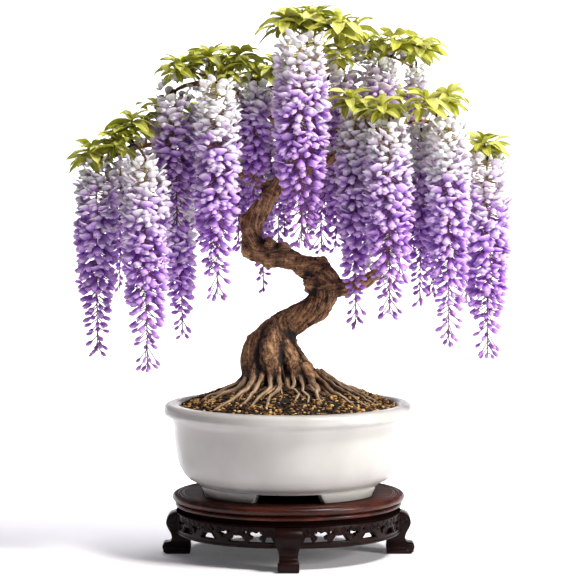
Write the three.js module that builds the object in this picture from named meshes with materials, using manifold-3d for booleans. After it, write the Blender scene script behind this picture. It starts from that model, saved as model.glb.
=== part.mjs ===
// A wisteria bonsai in a white glazed pot on a round hardwood stand.
// Millimetres, +Z up, -Y is the front. The origin is on the surface that the stand rests on, under the
// middle of the stand. The wood of the tree, from root tips to twig ends, is one solid. Every raceme of
// flowers and every leafy shoot is a solid of its own that hangs from, or stands on, the end of a twig.
import * as THREE from "three";
import { mergeVertices } from "three/addons/utils/BufferGeometryUtils.js";
import Module from "manifold-3d";

const wasm = await Module();
wasm.setup();
const { Manifold } = wasm;

// ---------- driving dimensions ----------
const GAP = 0.3; // left between pieces that touch

const STAND = {
  boardRadius: 187,
  boardTop: 98.5,
  boardBottom: 78, // a wide roll over a narrower one
  waistRadius: 181,
  waistBottom: 68,
  legs: 4,
  legWidth: 42,
  ankleWidth: 29,
  apronInner: 168,
  apronOuter: 181,
  apronBottom: 35,
  facets: 32,
};

const POT = {
  foot: 13, // height of the feet
  footOuter: 147,
  footInner: 125,
  footSpan: 48, // degrees of arc of each foot
  feet: 4,
  drain: 13, // radius of the drainage hole
  wall: 9,
  // outside of the bowl, as [radius, height above the board]
  outside: [
    [143, 13],
    [164, 26],
    [179.5, 58],
    [185.5, 116],
    [198, 127],
    [200.5, 137],
    [195, 145],
  ],
  // over the lip and down the inside
  inside: [
    [180, 145],
    [175, 138],
    [168, 60],
    [140, 22],
  ],
  facets: 28,
};
const POT_FLOOR = STAND.boardTop + GAP + POT.foot + POT.wall;

const SCREEN = { side: 44, thick: 1.6, bar: 4 };

const SOIL_FLOOR = POT_FLOOR + SCREEN.thick + 2 * GAP;
const SOIL = {
  edgeRadius: 174,
  edgeHeight: 238.5,
  moundHeight: 46,
  moundPower: 1.6,
  relief: 1.6,
  facets: 20,
};

// ---------- small tools ----------
const v3 = (x, y, z) => new THREE.Vector3(x, y, z);
const rad = (degrees) => (degrees * Math.PI) / 180;
const lerp = THREE.MathUtils.lerp;

// The same numbers on every run.
function seeded(seed) {
  let s = seed >>> 0;
  return () => {
    s = (s + 0x6d2b79f5) >>> 0;
    let t = Math.imul(s ^ (s >>> 15), 1 | s);
    t = (t + Math.imul(t ^ (t >>> 7), 61 | t)) ^ t;
    return ((t ^ (t >>> 14)) >>> 0) / 4294967296;
  };
}

// A three.js geometry as a manifold solid: vertices merged and collapsed faces dropped.
function solid(geometry) {
  const bare = geometry.index ? geometry.toNonIndexed() : geometry.clone();
  for (const name of Object.keys(bare.attributes)) {
    if (name !== "position") bare.deleteAttribute(name);
  }
  const merged = mergeVertices(bare, 1e-3);
  const corners = merged.index.array;
  const kept = [];
  for (let i = 0; i < corners.length; i += 3) {
    const [a, b, c] = [corners[i], corners[i + 1], corners[i + 2]];
    if (a !== b && b !== c && c !== a) kept.push(a, b, c);
  }
  const vertProperties = merged.attributes.position.array;
  const wrap = (triVerts) => new Manifold(new wasm.Mesh({ numProp: 3, vertProperties, triVerts }));
  const made = wrap(new Uint32Array(kept));
  if (made.volume() > 0) return made;
  return wrap(new Uint32Array(kept.reverse())); // the faces pointed inwards
}

function geometryOf(made) {
  const mesh = made.getMesh();
  return new THREE.BufferGeometry()
    .setAttribute("position", new THREE.BufferAttribute(mesh.vertProperties, 3))
    .setIndex(new THREE.BufferAttribute(mesh.triVerts, 1));
}

// Joins solids, and drops a crumb that came loose. Anything larger has to hold together.
function fuse(solids, crumb = 20) {
  const bodies = Manifold.union(solids).decompose();
  bodies.sort((a, b) => b.volume() - a.volume());
  if (bodies.length > 1 && bodies[1].volume() > crumb) throw new Error("a piece is not joined");
  return bodies[0];
}

// A round bar bent along a path, whose radius runs through the path's fourth values. An extra makes
// it that much larger all over, ends too. A level end is cut off flat, whatever the slope.
function bar(path, sides, steps, extra = 0, levelEnd = false) {
  const curve = new THREE.CatmullRomCurve3(
    path.map(([x, y, z]) => v3(x, y, z)),
    false,
    "centripetal",
  );
  const rings = [];
  let before = curve.getTangent(0);
  const side = v3(0, 0, 1).cross(before);
  if (side.length() < 0.1) side.set(1, 0, 0).cross(before);
  side.normalize();
  for (let step = 0; step <= steps; step++) {
    const ahead = curve.getTangent(step / steps);
    side.applyQuaternion(new THREE.Quaternion().setFromUnitVectors(before, ahead));
    rings.push([curve.getPoint(step / steps), side.clone(), ahead.clone().cross(side)]);
    before = ahead;
  }
  rings[0][0].addScaledVector(curve.getTangent(0), -extra);
  rings[steps][0].addScaledVector(before, extra);
  if (levelEnd) {
    const [, across, up] = rings[steps];
    across.setZ(0).normalize();
    up.setZ(0).normalize();
  }
  const geometry = new THREE.CylinderGeometry(1, 1, 1, sides, steps);
  const place = geometry.attributes.position;
  for (let i = 0; i < place.count; i++) {
    const far = place.getY(i) + 0.5;
    const [centre, across, up] = rings[Math.round(far * steps)];
    const exact = far * (path.length - 1);
    const low = Math.min(Math.floor(exact), path.length - 2);
    const radius = lerp(path[low][3], path[low + 1][3], exact - low) + extra;
    const point = centre.clone().addScaledVector(across, place.getX(i) * radius);
    point.addScaledVector(up, place.getZ(i) * radius);
    place.setXYZ(i, point.x, point.y, point.z);
  }
  return solid(geometry);
}

// A solid of revolution about Z from a profile of [radius, height].
function turned(profile, facets) {
  const points = profile.map(([r, z]) => new THREE.Vector2(r, z));
  return solid(new THREE.LatheGeometry(points, facets).rotateX(Math.PI / 2));
}

function extruded(outline, depth) {
  const shape = new THREE.Shape(outline.map(([x, y]) => new THREE.Vector2(x, y)));
  return new THREE.ExtrudeGeometry(shape, { depth, bevelEnabled: false, steps: 1 });
}

// ---------- the scene graph ----------
const tree = new THREE.Group();

const FINISH = {
  wood: { color: 0x35191a, roughness: 0.35 },
  glaze: { color: 0xf1efec, roughness: 0.15 },
  screen: { color: 0x1d1f20, roughness: 0.7 },
  soil: { color: 0x5b3d22, roughness: 0.95 },
  bark: { color: 0x6b4a33, roughness: 0.9 },
  leaf: { color: 0x8aa02c, roughness: 0.55 },
  petal: { color: 0xa57bd8, roughness: 0.6 },
};
const materials = {};
for (const [name, look] of Object.entries(FINISH)) {
  materials[name] = new THREE.MeshStandardMaterial({ ...look, metalness: 0 });
}

function add(name, made, finish) {
  const mesh = new THREE.Mesh(geometryOf(made), materials[finish]);
  mesh.name = name;
  tree.add(mesh);
  return mesh;
}

// ---------- stand ----------
function standTop() {
  const { boardRadius: r, boardTop: top, boardBottom: bottom, facets } = STAND;
  return turned(
    [
      [0, bottom],
      [r - 4, bottom],
      [r - 2, bottom + 7],
      [r, bottom + 14],
      [r - 4, top],
      [0, top],
    ],
    facets,
  );
}

function standWaist() {
  const { waistRadius: r, waistBottom: low, boardBottom, facets } = STAND;
  const top = boardBottom - GAP;
  return turned(
    [
      [0, low],
      [r, low],
      [r - 4, top],
      [0, top],
    ],
    facets,
  );
}

// One curved leg seen from its side: [distance from the stand's axis, height].
function standLeg() {
  const top = STAND.waistBottom - GAP;
  const side = [
    [152, top],
    [155, 42],
    [159, 24],
    [158, 10],
    [160, 0],
    [198, 0],
    [203, 5],
    [203, 13],
    [198, 19],
    [189, 22],
    [188, 30],
    [194, 41],
    [197, 52],
    [191, 63],
    [182, top],
  ];
  const width = STAND.legWidth;
  const geometry = extruded(side, width);
  const place = geometry.attributes.position;
  for (let i = 0; i < place.count; i++) {
    const height = place.getY(i);
    const slim = THREE.MathUtils.smoothstep(height, 20, 54);
    const foot = 1 - THREE.MathUtils.smoothstep(height, 6, 22);
    const wide = lerp(STAND.ankleWidth, width, Math.max(slim, foot * 0.8));
    place.setZ(i, (place.getZ(i) / width - 0.5) * wide);
  }
  return solid(geometry.rotateX(Math.PI / 2));
}

// A curved panel between two legs, pierced by a row of cloud-shaped holes.
function standApron() {
  const { apronInner: inner, apronOuter: outer, apronBottom, waistBottom } = STAND;
  const top = waistBottom - GAP;
  const clear = STAND.legWidth / 2 + 2 * GAP; // half a leg, measured off the panel's centre line
  const from = Math.asin(clear / inner);
  const to = Math.PI / 2 - from;
  const steps = 6;
  const blank = new THREE.BoxGeometry(1, 1, 1, steps, 1, 1);
  const place = blank.attributes.position;
  for (let i = 0; i < place.count; i++) {
    const angle = lerp(to, from, place.getX(i) + 0.5);
    const dip = 5 * Math.sin(((angle - from) / (to - from)) * Math.PI);
    const high = place.getZ(i) > 0;
    const radius = place.getY(i) < 0 ? inner : outer;
    place.setXYZ(
      i,
      radius * Math.cos(angle),
      radius * Math.sin(angle),
      high ? top : apronBottom + 5 - dip,
    );
  }
  let panel = solid(blank);
  const holes = [
    [-21, 49, 11, 6],
    [0, 51, 10, 7.5],
    [21, 49, 11, 6],
  ]; // [degrees from the panel's middle, height, half width, half height]
  for (const [degrees, height, wide, tall] of holes) {
    const cloud = [
      [-wide, -tall],
      [wide, -tall],
      [wide * 0.5, tall * 0.7],
      [-wide * 0.5, tall * 0.7],
    ];
    const drill = extruded(cloud, 60);
    drill.rotateX(Math.PI / 2).rotateZ(Math.PI / 2).translate(outer - 40, 0, height);
    drill.rotateZ(Math.PI / 4 + rad(degrees));
    panel = panel.subtract(solid(drill));
  }
  return panel;
}

add("stand_top", standTop(), "wood");
add("stand_waist", standWaist(), "wood");
for (let i = 0; i < STAND.legs; i++) {
  const turn = (i * 360) / STAND.legs - 90;
  add(`stand_leg_${i + 1}`, standLeg().rotate([0, 0, turn]), "wood");
  add(`stand_apron_${i + 1}`, standApron().rotate([0, 0, turn]), "wood");
}

// ---------- pot, drain screen and soil ----------
function potFoot() {
  const half = rad(POT.footSpan / 2);
  const shape = new THREE.Shape();
  shape.absarc(0, 0, POT.footOuter, -half, half, false);
  shape.absarc(0, 0, POT.footInner, half, -half, true);
  const height = POT.foot + 4;
  const foot = new THREE.ExtrudeGeometry(shape, {
    depth: height,
    bevelEnabled: false,
    curveSegments: 2,
  });
  const place = foot.attributes.position;
  for (let i = 0; i < place.count; i++) {
    if (place.getZ(i) > 0) continue;
    place.setX(i, place.getX(i) * 0.975);
    place.setY(i, place.getY(i) * 0.93);
  }
  return solid(foot);
}

function pot() {
  const floor = POT.foot + POT.wall;
  const profile = [
    [POT.drain, POT.foot],
    ...POT.outside,
    ...POT.inside,
    [POT.drain, floor],
    [POT.drain, POT.foot],
  ];
  const pieces = [turned(profile, POT.facets)];
  for (let i = 0; i < POT.feet; i++) {
    pieces.push(potFoot().rotate([0, 0, 45 + (i * 360) / POT.feet]));
  }
  return fuse(pieces).translate([0, 0, STAND.boardTop + GAP]);
}

// The plastic mesh that keeps the soil from falling through the drainage hole.
function drainScreen() {
  const { side, thick, bar: rib } = SCREEN;
  const low = POT_FLOOR + GAP;
  let plate = solid(new THREE.BoxGeometry(side, side, thick).translate(0, 0, low + thick / 2));
  const hole = (side - 3 * rib) / 2;
  for (const x of [-1, 1]) {
    for (const y of [-1, 1]) {
      const drill = new THREE.BoxGeometry(hole, hole, thick * 3);
      drill.translate((x * (hole + rib)) / 2, (y * (hole + rib)) / 2, low);
      plate = plate.subtract(solid(drill));
    }
  }
  return plate;
}

// Height of the soil's surface: a mound that falls away to the rim, with a little unevenness.
function soilHeight(x, y) {
  const out = Math.min(1, Math.hypot(x, y) / SOIL.edgeRadius);
  const mound = SOIL.moundHeight * (1 - out ** SOIL.moundPower);
  const uneven = Math.sin(x * 0.11 + 1.3) * Math.cos(y * 0.13) + 0.6 * Math.sin(x * 0.31 - y * 0.27);
  return SOIL.edgeHeight + mound + SOIL.relief * uneven * (1 - out ** 4);
}

function soilBody() {
  const rings = [142, 104, 64, 26, 0];
  const [, , [wallRadius, wallHeight], [floorRadius]] = POT.inside;
  const profile = [
    [0, SOIL_FLOOR],
    [floorRadius - 5, SOIL_FLOOR],
    [wallRadius - 2, wallHeight + STAND.boardTop],
    [SOIL.edgeRadius - 1, SOIL.edgeHeight],
    ...rings.map((r) => [r, SOIL.edgeHeight + 1]),
  ];
  const geometry = new THREE.LatheGeometry(
    profile.map(([r, z]) => new THREE.Vector2(r, z)),
    SOIL.facets,
  ).rotateX(Math.PI / 2);
  const place = geometry.attributes.position;
  for (let i = 0; i < place.count; i++) {
    if (place.getZ(i) > SOIL.edgeHeight + 0.5) {
      place.setZ(i, soilHeight(place.getX(i), place.getY(i)));
    }
  }
  return solid(geometry);
}

// ---------- the tree's wood ----------
// Each limb is a path of [x, y, z, radius], from the thick end to the thin one.
const TRUNK = [
  [-10, 0, 250, 56],
  [-20, 0, 284, 48],
  [-30, 2, 308, 42],
  [-35, 3, 328, 38],
  [-27, 1, 348, 33],
  [-10, -3, 364, 26],
  [10, -6, 377, 23],
  [34, -8, 390, 22],
  [54, -8, 411, 22],
  [60, -6, 438, 23],
  [44, -3, 458, 18],
  [20, 0, 467, 15],
  [-5, 3, 476, 17],
  [-32, 5, 481, 18],
  [-53, 6, 491, 18],
  [-59, 6, 512, 17],
  [-58, 4, 530, 18],
  [-49, 2, 547, 16.5],
  [-37, 0, 564, 15],
  [-26, 1, 582, 14.5],
  [-12, 4, 598, 14],
];
const LEADER = [
  [-20, 2, 588, 14],
  [2, 8, 615, 12.5],
  [14, 16, 645, 11.5],
  [12, 24, 680, 10],
  [4, 24, 715, 8.5],
  [10, 16, 750, 7],
  [24, 4, 782, 5.5],
  [32, -8, 806, 4],
];
const LIMBS = {
  left: [
    [-22, 3, 586, 11],
    [-58, 10, 600, 9.5],
    [-84, 20, 618, 8.5],
    [-112, 26, 652, 7.5],
    [-150, 24, 664, 6.5],
    [-196, 14, 660, 5.5],
    [-240, 2, 654, 4.5],
    [-290, -10, 634, 3],
  ],
  left_high: [
    [13, 20, 662, 9],
    [-18, 12, 694, 8],
    [-52, 0, 722, 7],
    [-86, -10, 744, 6],
    [-124, -16, 756, 5],
    [-164, -18, 752, 4],
    [-192, -16, 736, 2.8],
  ],
  right: [
    [-4, 6, 606, 11],
    [34, 2, 620, 9.5],
    [66, -2, 634, 8.5],
    [100, -12, 662, 7.5],
    [140, -26, 684, 6.5],
    [184, -36, 694, 5],
    [226, -40, 694, 3.5],
    [252, -44, 682, 2.8],
  ],
  right_high: [
    [8, 20, 736, 7],
    [44, 24, 764, 6],
    [84, 22, 784, 5.2],
    [124, 14, 796, 4.4],
    [164, 8, 798, 3.4],
    [196, 8, 782, 2.6],
  ],
  right_low: [
    [58, -7, 432, 17],
    [82, -9, 429, 14],
    [106, -10, 433, 12.5],
    [130, -8, 444, 11.5],
    [148, -2, 460, 8.5],
    [158, 14, 490, 6.5],
    [168, 36, 530, 6],
    [194, 54, 574, 5.5],
    [228, 50, 614, 5],
    [266, 26, 642, 4.2],
    [300, -6, 652, 3],
    [318, -20, 642, 2.6],
  ],
  back_left: [
    [-58, 10, 600, 8],
    [-84, 50, 630, 7],
    [-118, 86, 656, 6],
    [-158, 108, 664, 5],
    [-200, 104, 656, 3.6],
    [-232, 92, 636, 2.8],
  ],
  back: [
    [12, 24, 684, 8.5],
    [2, 62, 712, 7.5],
    [-16, 104, 736, 6.5],
    [-40, 136, 744, 5],
    [-66, 158, 734, 3.4],
  ],
  back_high: [
    [6, 22, 724, 7],
    [28, 60, 752, 6],
    [46, 104, 768, 5],
    [52, 136, 766, 4],
    [56, 160, 752, 3],
  ],
  back_right: [
    [14, 18, 650, 9],
    [56, 52, 672, 7.5],
    [100, 88, 694, 6.5],
    [146, 116, 704, 5.2],
    [190, 116, 698, 4],
    [230, 98, 682, 3],
  ],
};

// Old stems that have grown together round the foot of the trunk.
const FLUTES = [
  [
    [-36, -6, 354, 15],
    [-54, -12, 332, 18],
    [-60, -20, 308, 17],
    [-60, -28, 284, 14],
    [-72, -42, 260, 9],
  ],
  [
    [-26, -14, 352, 15],
    [-34, -28, 328, 17],
    [-32, -38, 302, 15],
    [-22, -46, 278, 10],
    [-26, -62, 260, 7],
  ],
  [
    [-24, -14, 352, 12],
    [-13, -26, 330, 13],
    [4, -34, 304, 14],
    [24, -44, 282, 10],
    [34, -58, 260, 6],
  ],
  [
    [-18, -4, 350, 12],
    [-8, -8, 330, 13],
    [12, -12, 308, 13],
    [38, -20, 284, 9],
    [68, -28, 264, 6],
  ],
  [
    [-20, 14, 352, 14],
    [-12, 28, 328, 16],
    [8, 38, 302, 14],
    [32, 50, 270, 9],
  ],
  [
    [-38, 12, 348, 14],
    [-50, 26, 324, 16],
    [-56, 40, 298, 14],
    [-66, 60, 264, 9],
  ],
];
const KNOTS = [
  [-22, -4, 382, 9],
  [-9, 2, 492, 11],
  [54, -6, 462, 11],
  [-68, 4, 488, 11],
  [-66, 4, 534, 11],
  [52, -14, 388, 9],
  [-2, -10, 344, 10],
]; // [x, y, z, radius] of burrs on the trunk

// Surface roots: [degrees round the foot, length, thickness, sideways swing].
const ROOTS = [
  [-156, 96, 7.5, 10],
  [-128, 90, 7, -8],
  [-104, 78, 6.5, 8],
  [-76, 80, 6.5, -7],
  [-46, 92, 7, 8],
  [-14, 108, 7, -8],
  [26, 92, 7, 8],
  [68, 84, 7, -9],
  [116, 86, 7.5, 9],
  [162, 96, 7, -9],
];
const FOOT = { x: -10, y: 0, radius: 38 };

function rootPath([degrees, length, thick, swing]) {
  const out = v3(Math.cos(rad(degrees)), Math.sin(rad(degrees)), 0);
  const across = v3(-out.y, out.x, 0);
  const path = [];
  for (let i = 0; i <= 5; i++) {
    const t = i / 5;
    const far = lerp(FOOT.radius, FOOT.radius + length, t);
    const side = swing * Math.sin(t * Math.PI * 1.4);
    const x = FOOT.x + out.x * far + across.x * side;
    const y = FOOT.y + out.y * far + across.y * side;
    const thickness = thick * (1.25 - 0.95 * t);
    const lift = i === 0 ? 14 : i === 5 ? -5 : thickness * 0.35;
    path.push([x, y, soilHeight(x, y) + lift, thickness]);
  }
  return path;
}

// ---------- where the flowers and the leaves go ----------
// Racemes: [x, y, height of the stalk's top, length, radius at the shoulder].
const RACEMES = [
  [-305, -30, 630, 312, 34],
  [-272, 46, 624, 208, 19],
  [-226, -92, 634, 334, 36],
  [-174, 34, 578, 238, 27],
  [-180, -36, 750, 228, 34],
  [-114, -96, 756, 344, 36],
  [-140, 84, 640, 150, 17],
  [-52, -46, 756, 192, 28],
  [-82, 100, 652, 162, 19],
  [18, -96, 824, 328, 42],
  [-42, 84, 616, 208, 18],
  [-8, 74, 702, 202, 20],
  [34, 66, 688, 204, 21],
  [78, 66, 664, 186, 22],
  [104, -54, 714, 352, 29],
  [156, -112, 692, 308, 37],
  [208, -32, 680, 282, 28],
  [252, -96, 696, 356, 34],
  [316, -34, 644, 330, 36],
  [144, 10, 794, 192, 32],
  [204, 36, 784, 162, 20],
  [92, 14, 788, 110, 22],
  [-246, 104, 636, 232, 28],
  [-186, 116, 660, 248, 30],
  [-130, 150, 672, 232, 30],
  [-76, 166, 736, 262, 33],
  [-14, 160, 738, 272, 32],
  [54, 168, 750, 280, 34],
  [60, 116, 768, 232, 30],
  [126, 132, 700, 268, 31],
  [186, 150, 696, 274, 32],
  [238, 96, 682, 280, 31],
  [288, 52, 642, 252, 27],
  [66, 26, 738, 118, 16],
];

// Leafy shoots. Each has whorls of leaflets at [x, y, z, how many leaflets, length of the longest].
const SHOOTS = {
  apex: [
    [0, -40, 844, 8, 56],
    [44, -24, 858, 8, 56],
    [78, -54, 838, 7, 54],
  ],
  top_right: [
    [124, 9, 821, 7, 52],
    [168, -6, 824, 8, 56],
    [208, -2, 813, 8, 54],
  ],
  left_high: [
    [-172, -44, 782, 8, 54],
    [-126, -36, 796, 8, 56],
    [-78, -34, 798, 8, 54],
  ],
  left_edge: [[-248, -42, 704, 7, 50]],
  left: [
    [-274, -50, 668, 7, 52],
    [-310, -36, 650, 8, 55],
  ],
  right: [
    [96, -78, 730, 7, 54],
    [146, -92, 718, 7, 54],
  ],
  right_mid: [
    [214, -84, 728, 7, 54],
    [252, -50, 735, 8, 54],
  ],
  right_edge: [[311, -38, 661, 9, 54]],
  back_left: [
    [-200, 112, 690, 7, 54],
    [-158, 122, 698, 7, 54],
  ],
  back: [
    [-60, 144, 772, 7, 54],
    [-20, 112, 782, 6, 52],
  ],
  back_high: [
    [60, 148, 796, 7, 54],
    [52, 104, 808, 6, 52],
  ],
  back_right: [
    [170, 128, 742, 7, 54],
    [226, 104, 724, 7, 54],
  ],
};

const TWIG = {
  base: 2.6, // radius where it leaves the limb
  tip: 1.9,
  direct: 20, // length under which it runs straight
  clear: 10, // height that its end keeps from the limb
  level: 6, // length that runs straight up or down at its end
};

// Points along the limbs that a twig can leave from.
function limbPoints() {
  const found = [];
  for (const path of [LEADER, ...Object.values(LIMBS)]) {
    const curve = new THREE.CatmullRomCurve3(
      path.map(([x, y, z]) => v3(x, y, z)),
      false,
      "centripetal",
    );
    const first = path === LEADER ? 0.35 : 0.3;
    for (let t = first; t <= 1; t += 0.02) found.push(curve.getPoint(t));
  }
  return found;
}
const LIMB_POINTS = limbPoints();

// The point of the wood that is nearest to a twig's end, with a cost for having to climb to it.
function nearestWood(end) {
  let best = null;
  let least = Infinity;
  for (const point of LIMB_POINTS) {
    const climb = Math.max(0, point.z - end.z);
    const cost = point.distanceTo(end) + climb * 0.5;
    if (cost < least) {
      least = cost;
      best = point;
    }
  }
  return best;
}

// Where a twig ends: straight below or above the wood it leaves it keeps some height clear of it.
function twigEnd([x, y, z], up) {
  const end = v3(x, y, z);
  const wood = nearestWood(end);
  if (wood.distanceTo(end) > TWIG.direct) return end;
  end.z = up ? Math.max(z, wood.z + TWIG.clear) : Math.min(z, wood.z - TWIG.clear);
  return end;
}

// A twig arches from the limb and ends over a raceme, or under a shoot. A short one runs straight.
function twigTo(end, up) {
  const start = nearestWood(end);
  const span = start.distanceTo(end);
  const path = [
    [start.x, start.y, start.z, TWIG.base],
    [end.x, end.y, end.z, TWIG.tip],
  ];
  if (span < TWIG.direct) return bar(path, 3, 1, 0, true);
  const turn = end.z + (up ? -TWIG.level : TWIG.level);
  const middle = start.clone().lerp(v3(end.x, end.y, turn), 0.55);
  middle.z += (up ? -0.05 : 0.18) * span;
  path.splice(1, 0, [middle.x, middle.y, middle.z, 2.3], [end.x, end.y, turn, 2.1]);
  return bar(path, 3, 3, 0, true);
}

// ---------- racemes ----------
const RACEME = {
  stalk: 8, // bare stalk under the twig
  stalkRadius: 1.7,
  openShare: 0.68, // share of the length that is packed with open flowers
  openSpacing: 28, // from row to row of flowers
  budSpacing: 19,
  openValley: 0.55, // how deep the gaps between flowers go, as a share of the radius
  budValley: 2.6, // radius of the stem between the buds
  slimBelow: 24, // radius under which a raceme has fewer flowers round it
};
// Width of the part with open flowers, from its top to its end, and of the part with buds.
const OPEN_WIDTH = [0.78, 1, 1, 1, 0.97, 0.9, 0.8];
const BUD_WIDTH = [0.74, 0.6, 0.46, 0.24];

function along(values, t) {
  const exact = t * (values.length - 1);
  const low = Math.min(Math.floor(exact), values.length - 2);
  return lerp(values[low], values[low + 1], exact - low);
}

// A raceme is one net of points round its stem. In each row every other point is drawn out into a
// drooping flower or, further down, a bud, and the points between them are sunk towards the stem.
function raceme([x, y, z, fullLength, radius], seed) {
  const random = seeded(seed);
  const top = twigEnd([x, y, z], false).z;
  const length = fullLength - (z - top);
  const columns = radius > RACEME.slimBelow ? 8 : 6;
  const openLength = length * RACEME.openShare - RACEME.stalk;
  const openRows = Math.max(3, Math.round(openLength / RACEME.openSpacing));
  const budLength = length * (1 - RACEME.openShare) - 4;
  const budRows = Math.max(2, Math.round(budLength / RACEME.budSpacing));
  const lean = [(random() - 0.5) * 8, (random() - 0.5) * 8];
  const corners = [0, 0, -GAP];
  let rows = 0;
  const addRow = (height, radiusAt) => {
    const bend = Math.max(0, -height / length - 0.3);
    for (let column = 0; column < columns; column++) {
      const [reach, drop, twist] = radiusAt((rows + column) % 2 === 0);
      const angle = ((column + twist) / columns) * 2 * Math.PI;
      corners.push(
        reach * Math.cos(angle) + lean[0] * bend,
        reach * Math.sin(angle) + lean[1] * bend,
        height - drop,
      );
    }
    rows += 1;
  };
  addRow(-GAP, () => [RACEME.stalkRadius, 0, 0]);
  addRow(-RACEME.stalk, () => [RACEME.stalkRadius, 0, 0]);
  for (let row = 0; row < openRows; row++) {
    const down = row / (openRows - 1);
    const width = radius * along(OPEN_WIDTH, down);
    addRow(-RACEME.stalk - 6 - down * (openLength - 6), (out) => {
      if (!out) return [width * RACEME.openValley, 0, 0];
      return [width * lerp(0.88, 1.08, random()), lerp(0.2, 0.75, random()) * 16, (random() - 0.5) * 0.4];
    });
  }
  for (let row = 1; row <= budRows; row++) {
    const down = row / budRows;
    const width = Math.max(6, radius * along(BUD_WIDTH, down));
    addRow(-length * RACEME.openShare - down * budLength * 0.93, (out) => {
      if (!out) return [RACEME.budValley, 0, 0];
      return [width * lerp(0.85, 1.1, random()), lerp(0.5, 0.8, random()) * width, (random() - 0.5) * 0.5];
    });
  }
  corners.push(lean[0] * 0.7, lean[1] * 0.7, -length);
  const at = (row, column) => 1 + row * columns + (column % columns);
  const last = corners.length / 3 - 1;
  const faces = [];
  for (let column = 0; column < columns; column++) {
    faces.push(0, at(0, column), at(0, column + 1));
    faces.push(last, at(rows - 1, column + 1), at(rows - 1, column));
    for (let row = 0; row < rows - 1; row++) {
      const [a, b] = [at(row, column), at(row, column + 1)];
      const [c, d] = [at(row + 1, column), at(row + 1, column + 1)];
      if ((row + column) % 2 === 0) faces.push(a, c, b, b, c, d);
      else faces.push(a, c, d, a, d, b);
    }
  }
  const net = new THREE.BufferGeometry();
  net.setAttribute("position", new THREE.Float32BufferAttribute(corners, 3));
  net.setIndex(faces);
  return solid(net.translate(x, y, top));
}

// ---------- leafy shoots ----------
// A leaflet's width as a share of its length, and how far off the stem's axis it starts.
const LEAFLET = { width: 0.32, root: 1.1 };
const SHOOT = {
  stem: 18, // from the foot of a shoot to its lowest whorl
  fork: 8, // from the foot to where the stems of the whorls part
  footRadius: 2.6,
  stemRadius: 2,
};

// A folded, arching leaflet that points along +X from the origin: base, tip, two edges and the rib.
function leaflet(length, width, arch) {
  const thick = 1;
  const corners = [
    [0, 0, 0],
    [length, 0, -arch],
    [length * 0.46, width / 2, -arch * 0.05],
    [length * 0.46, -width / 2, -arch * 0.05],
    [length * 0.42, 0, arch * 0.16 + thick],
    [length * 0.42, 0, arch * 0.16 - thick],
  ].flat();
  const blade = new THREE.BufferGeometry();
  blade.setAttribute("position", new THREE.Float32BufferAttribute(corners, 3));
  blade.setIndex([0, 4, 2, 4, 1, 2, 1, 4, 3, 4, 0, 3, 0, 2, 5, 5, 2, 1, 1, 3, 5, 5, 3, 0]);
  return blade;
}

// Leaflets set round the end of a stem, low ones and high ones in turn.
function whorl([x, y, z, count, length], outward, random) {
  const pieces = [];
  for (let i = 0; i < count; i++) {
    const high = i % 2;
    const turn = outward + ((i + (random() - 0.5) * 0.4) / count) * 2 * Math.PI;
    const size = length * (high ? 0.84 : 1) * lerp(0.86, 1.04, random());
    const rise = (high ? 0.62 : 0.14) + (random() - 0.5) * 0.24;
    const blade = leaflet(size, size * LEAFLET.width, size * (high ? 0.3 : 0.34));
    blade.rotateX((random() - 0.5) * 0.6).rotateY(-rise).rotateZ(turn);
    const root = LEAFLET.root;
    blade.translate(x + root * Math.cos(turn), y + root * Math.sin(turn), z + high * 3);
    pieces.push(solid(blade));
  }
  return pieces;
}

// A shoot leaves the wood below the middle of its whorls.
function shootFoot(whorls) {
  const middle = [0, 1, 2].map((i) => whorls.reduce((sum, w) => sum + w[i], 0) / whorls.length);
  middle[2] = Math.min(...whorls.map((w) => w[2])) - SHOOT.stem;
  return twigEnd(middle, true);
}

function leafyShoot(whorls, seed) {
  const random = seeded(seed);
  const { x: x0, y: y0, z: z0 } = shootFoot(whorls);
  const { footRadius, stemRadius: thick } = SHOOT;
  const fork = z0 + SHOOT.fork;
  const stub = [
    [x0, y0, z0 + GAP, footRadius],
    [x0, y0, fork, footRadius],
  ];
  const pieces = [bar(stub, 4, 1)];
  for (const place of whorls) {
    const [x, y, z] = place;
    const path = [
      [lerp(x0, x, 0.01), lerp(y0, y, 0.01), fork - footRadius, thick * 0.75],
      [lerp(x0, x, 0.5), lerp(y0, y, 0.5), lerp(fork, z, 0.3), thick * 0.9],
      [x, y, z - 5, thick],
      [x, y, z + 6, thick],
    ];
    pieces.push(bar(path, 4, 3));
    pieces.push(...whorl(place, Math.atan2(y, x), random));
  }
  return fuse(pieces);
}

// ---------- build the wood, then cut the soil round it ----------
function wood(extra) {
  const pieces = [bar(TRUNK, 8, 18, extra)];
  for (const path of FLUTES) pieces.push(bar(path, 5, 3, extra));
  for (const root of ROOTS) pieces.push(bar(rootPath(root), 3, 3, extra));
  if (extra) return Manifold.union(pieces);
  pieces.push(bar(LEADER, 5, 7));
  for (const path of Object.values(LIMBS)) pieces.push(bar(path, 4, path.length - 1));
  for (const [x, y, z, r] of KNOTS) {
    pieces.push(solid(new THREE.OctahedronGeometry(r * 1.25, 0).translate(x, y, z)));
  }
  for (const place of RACEMES) pieces.push(twigTo(twigEnd(place, false), false));
  for (const whorls of Object.values(SHOOTS)) pieces.push(twigTo(shootFoot(whorls), true));
  return fuse(pieces);
}

add("pot", pot(), "glaze");
add("drain_screen", drainScreen(), "screen");
add("tree_wood", wood(0), "bark");
add("soil", fuse([soilBody().subtract(wood(2 * GAP))]), "soil");

RACEMES.forEach((place, i) => {
  const name = `raceme_${String(i + 1).padStart(2, "0")}`;
  add(name, raceme(place, 100 + i), "petal");
});
Object.entries(SHOOTS).forEach(([name, whorls], i) => {
  add(`leaves_${name}`, leafyShoot(whorls, 300 + i), "leaf");
});

export default tree;
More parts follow.
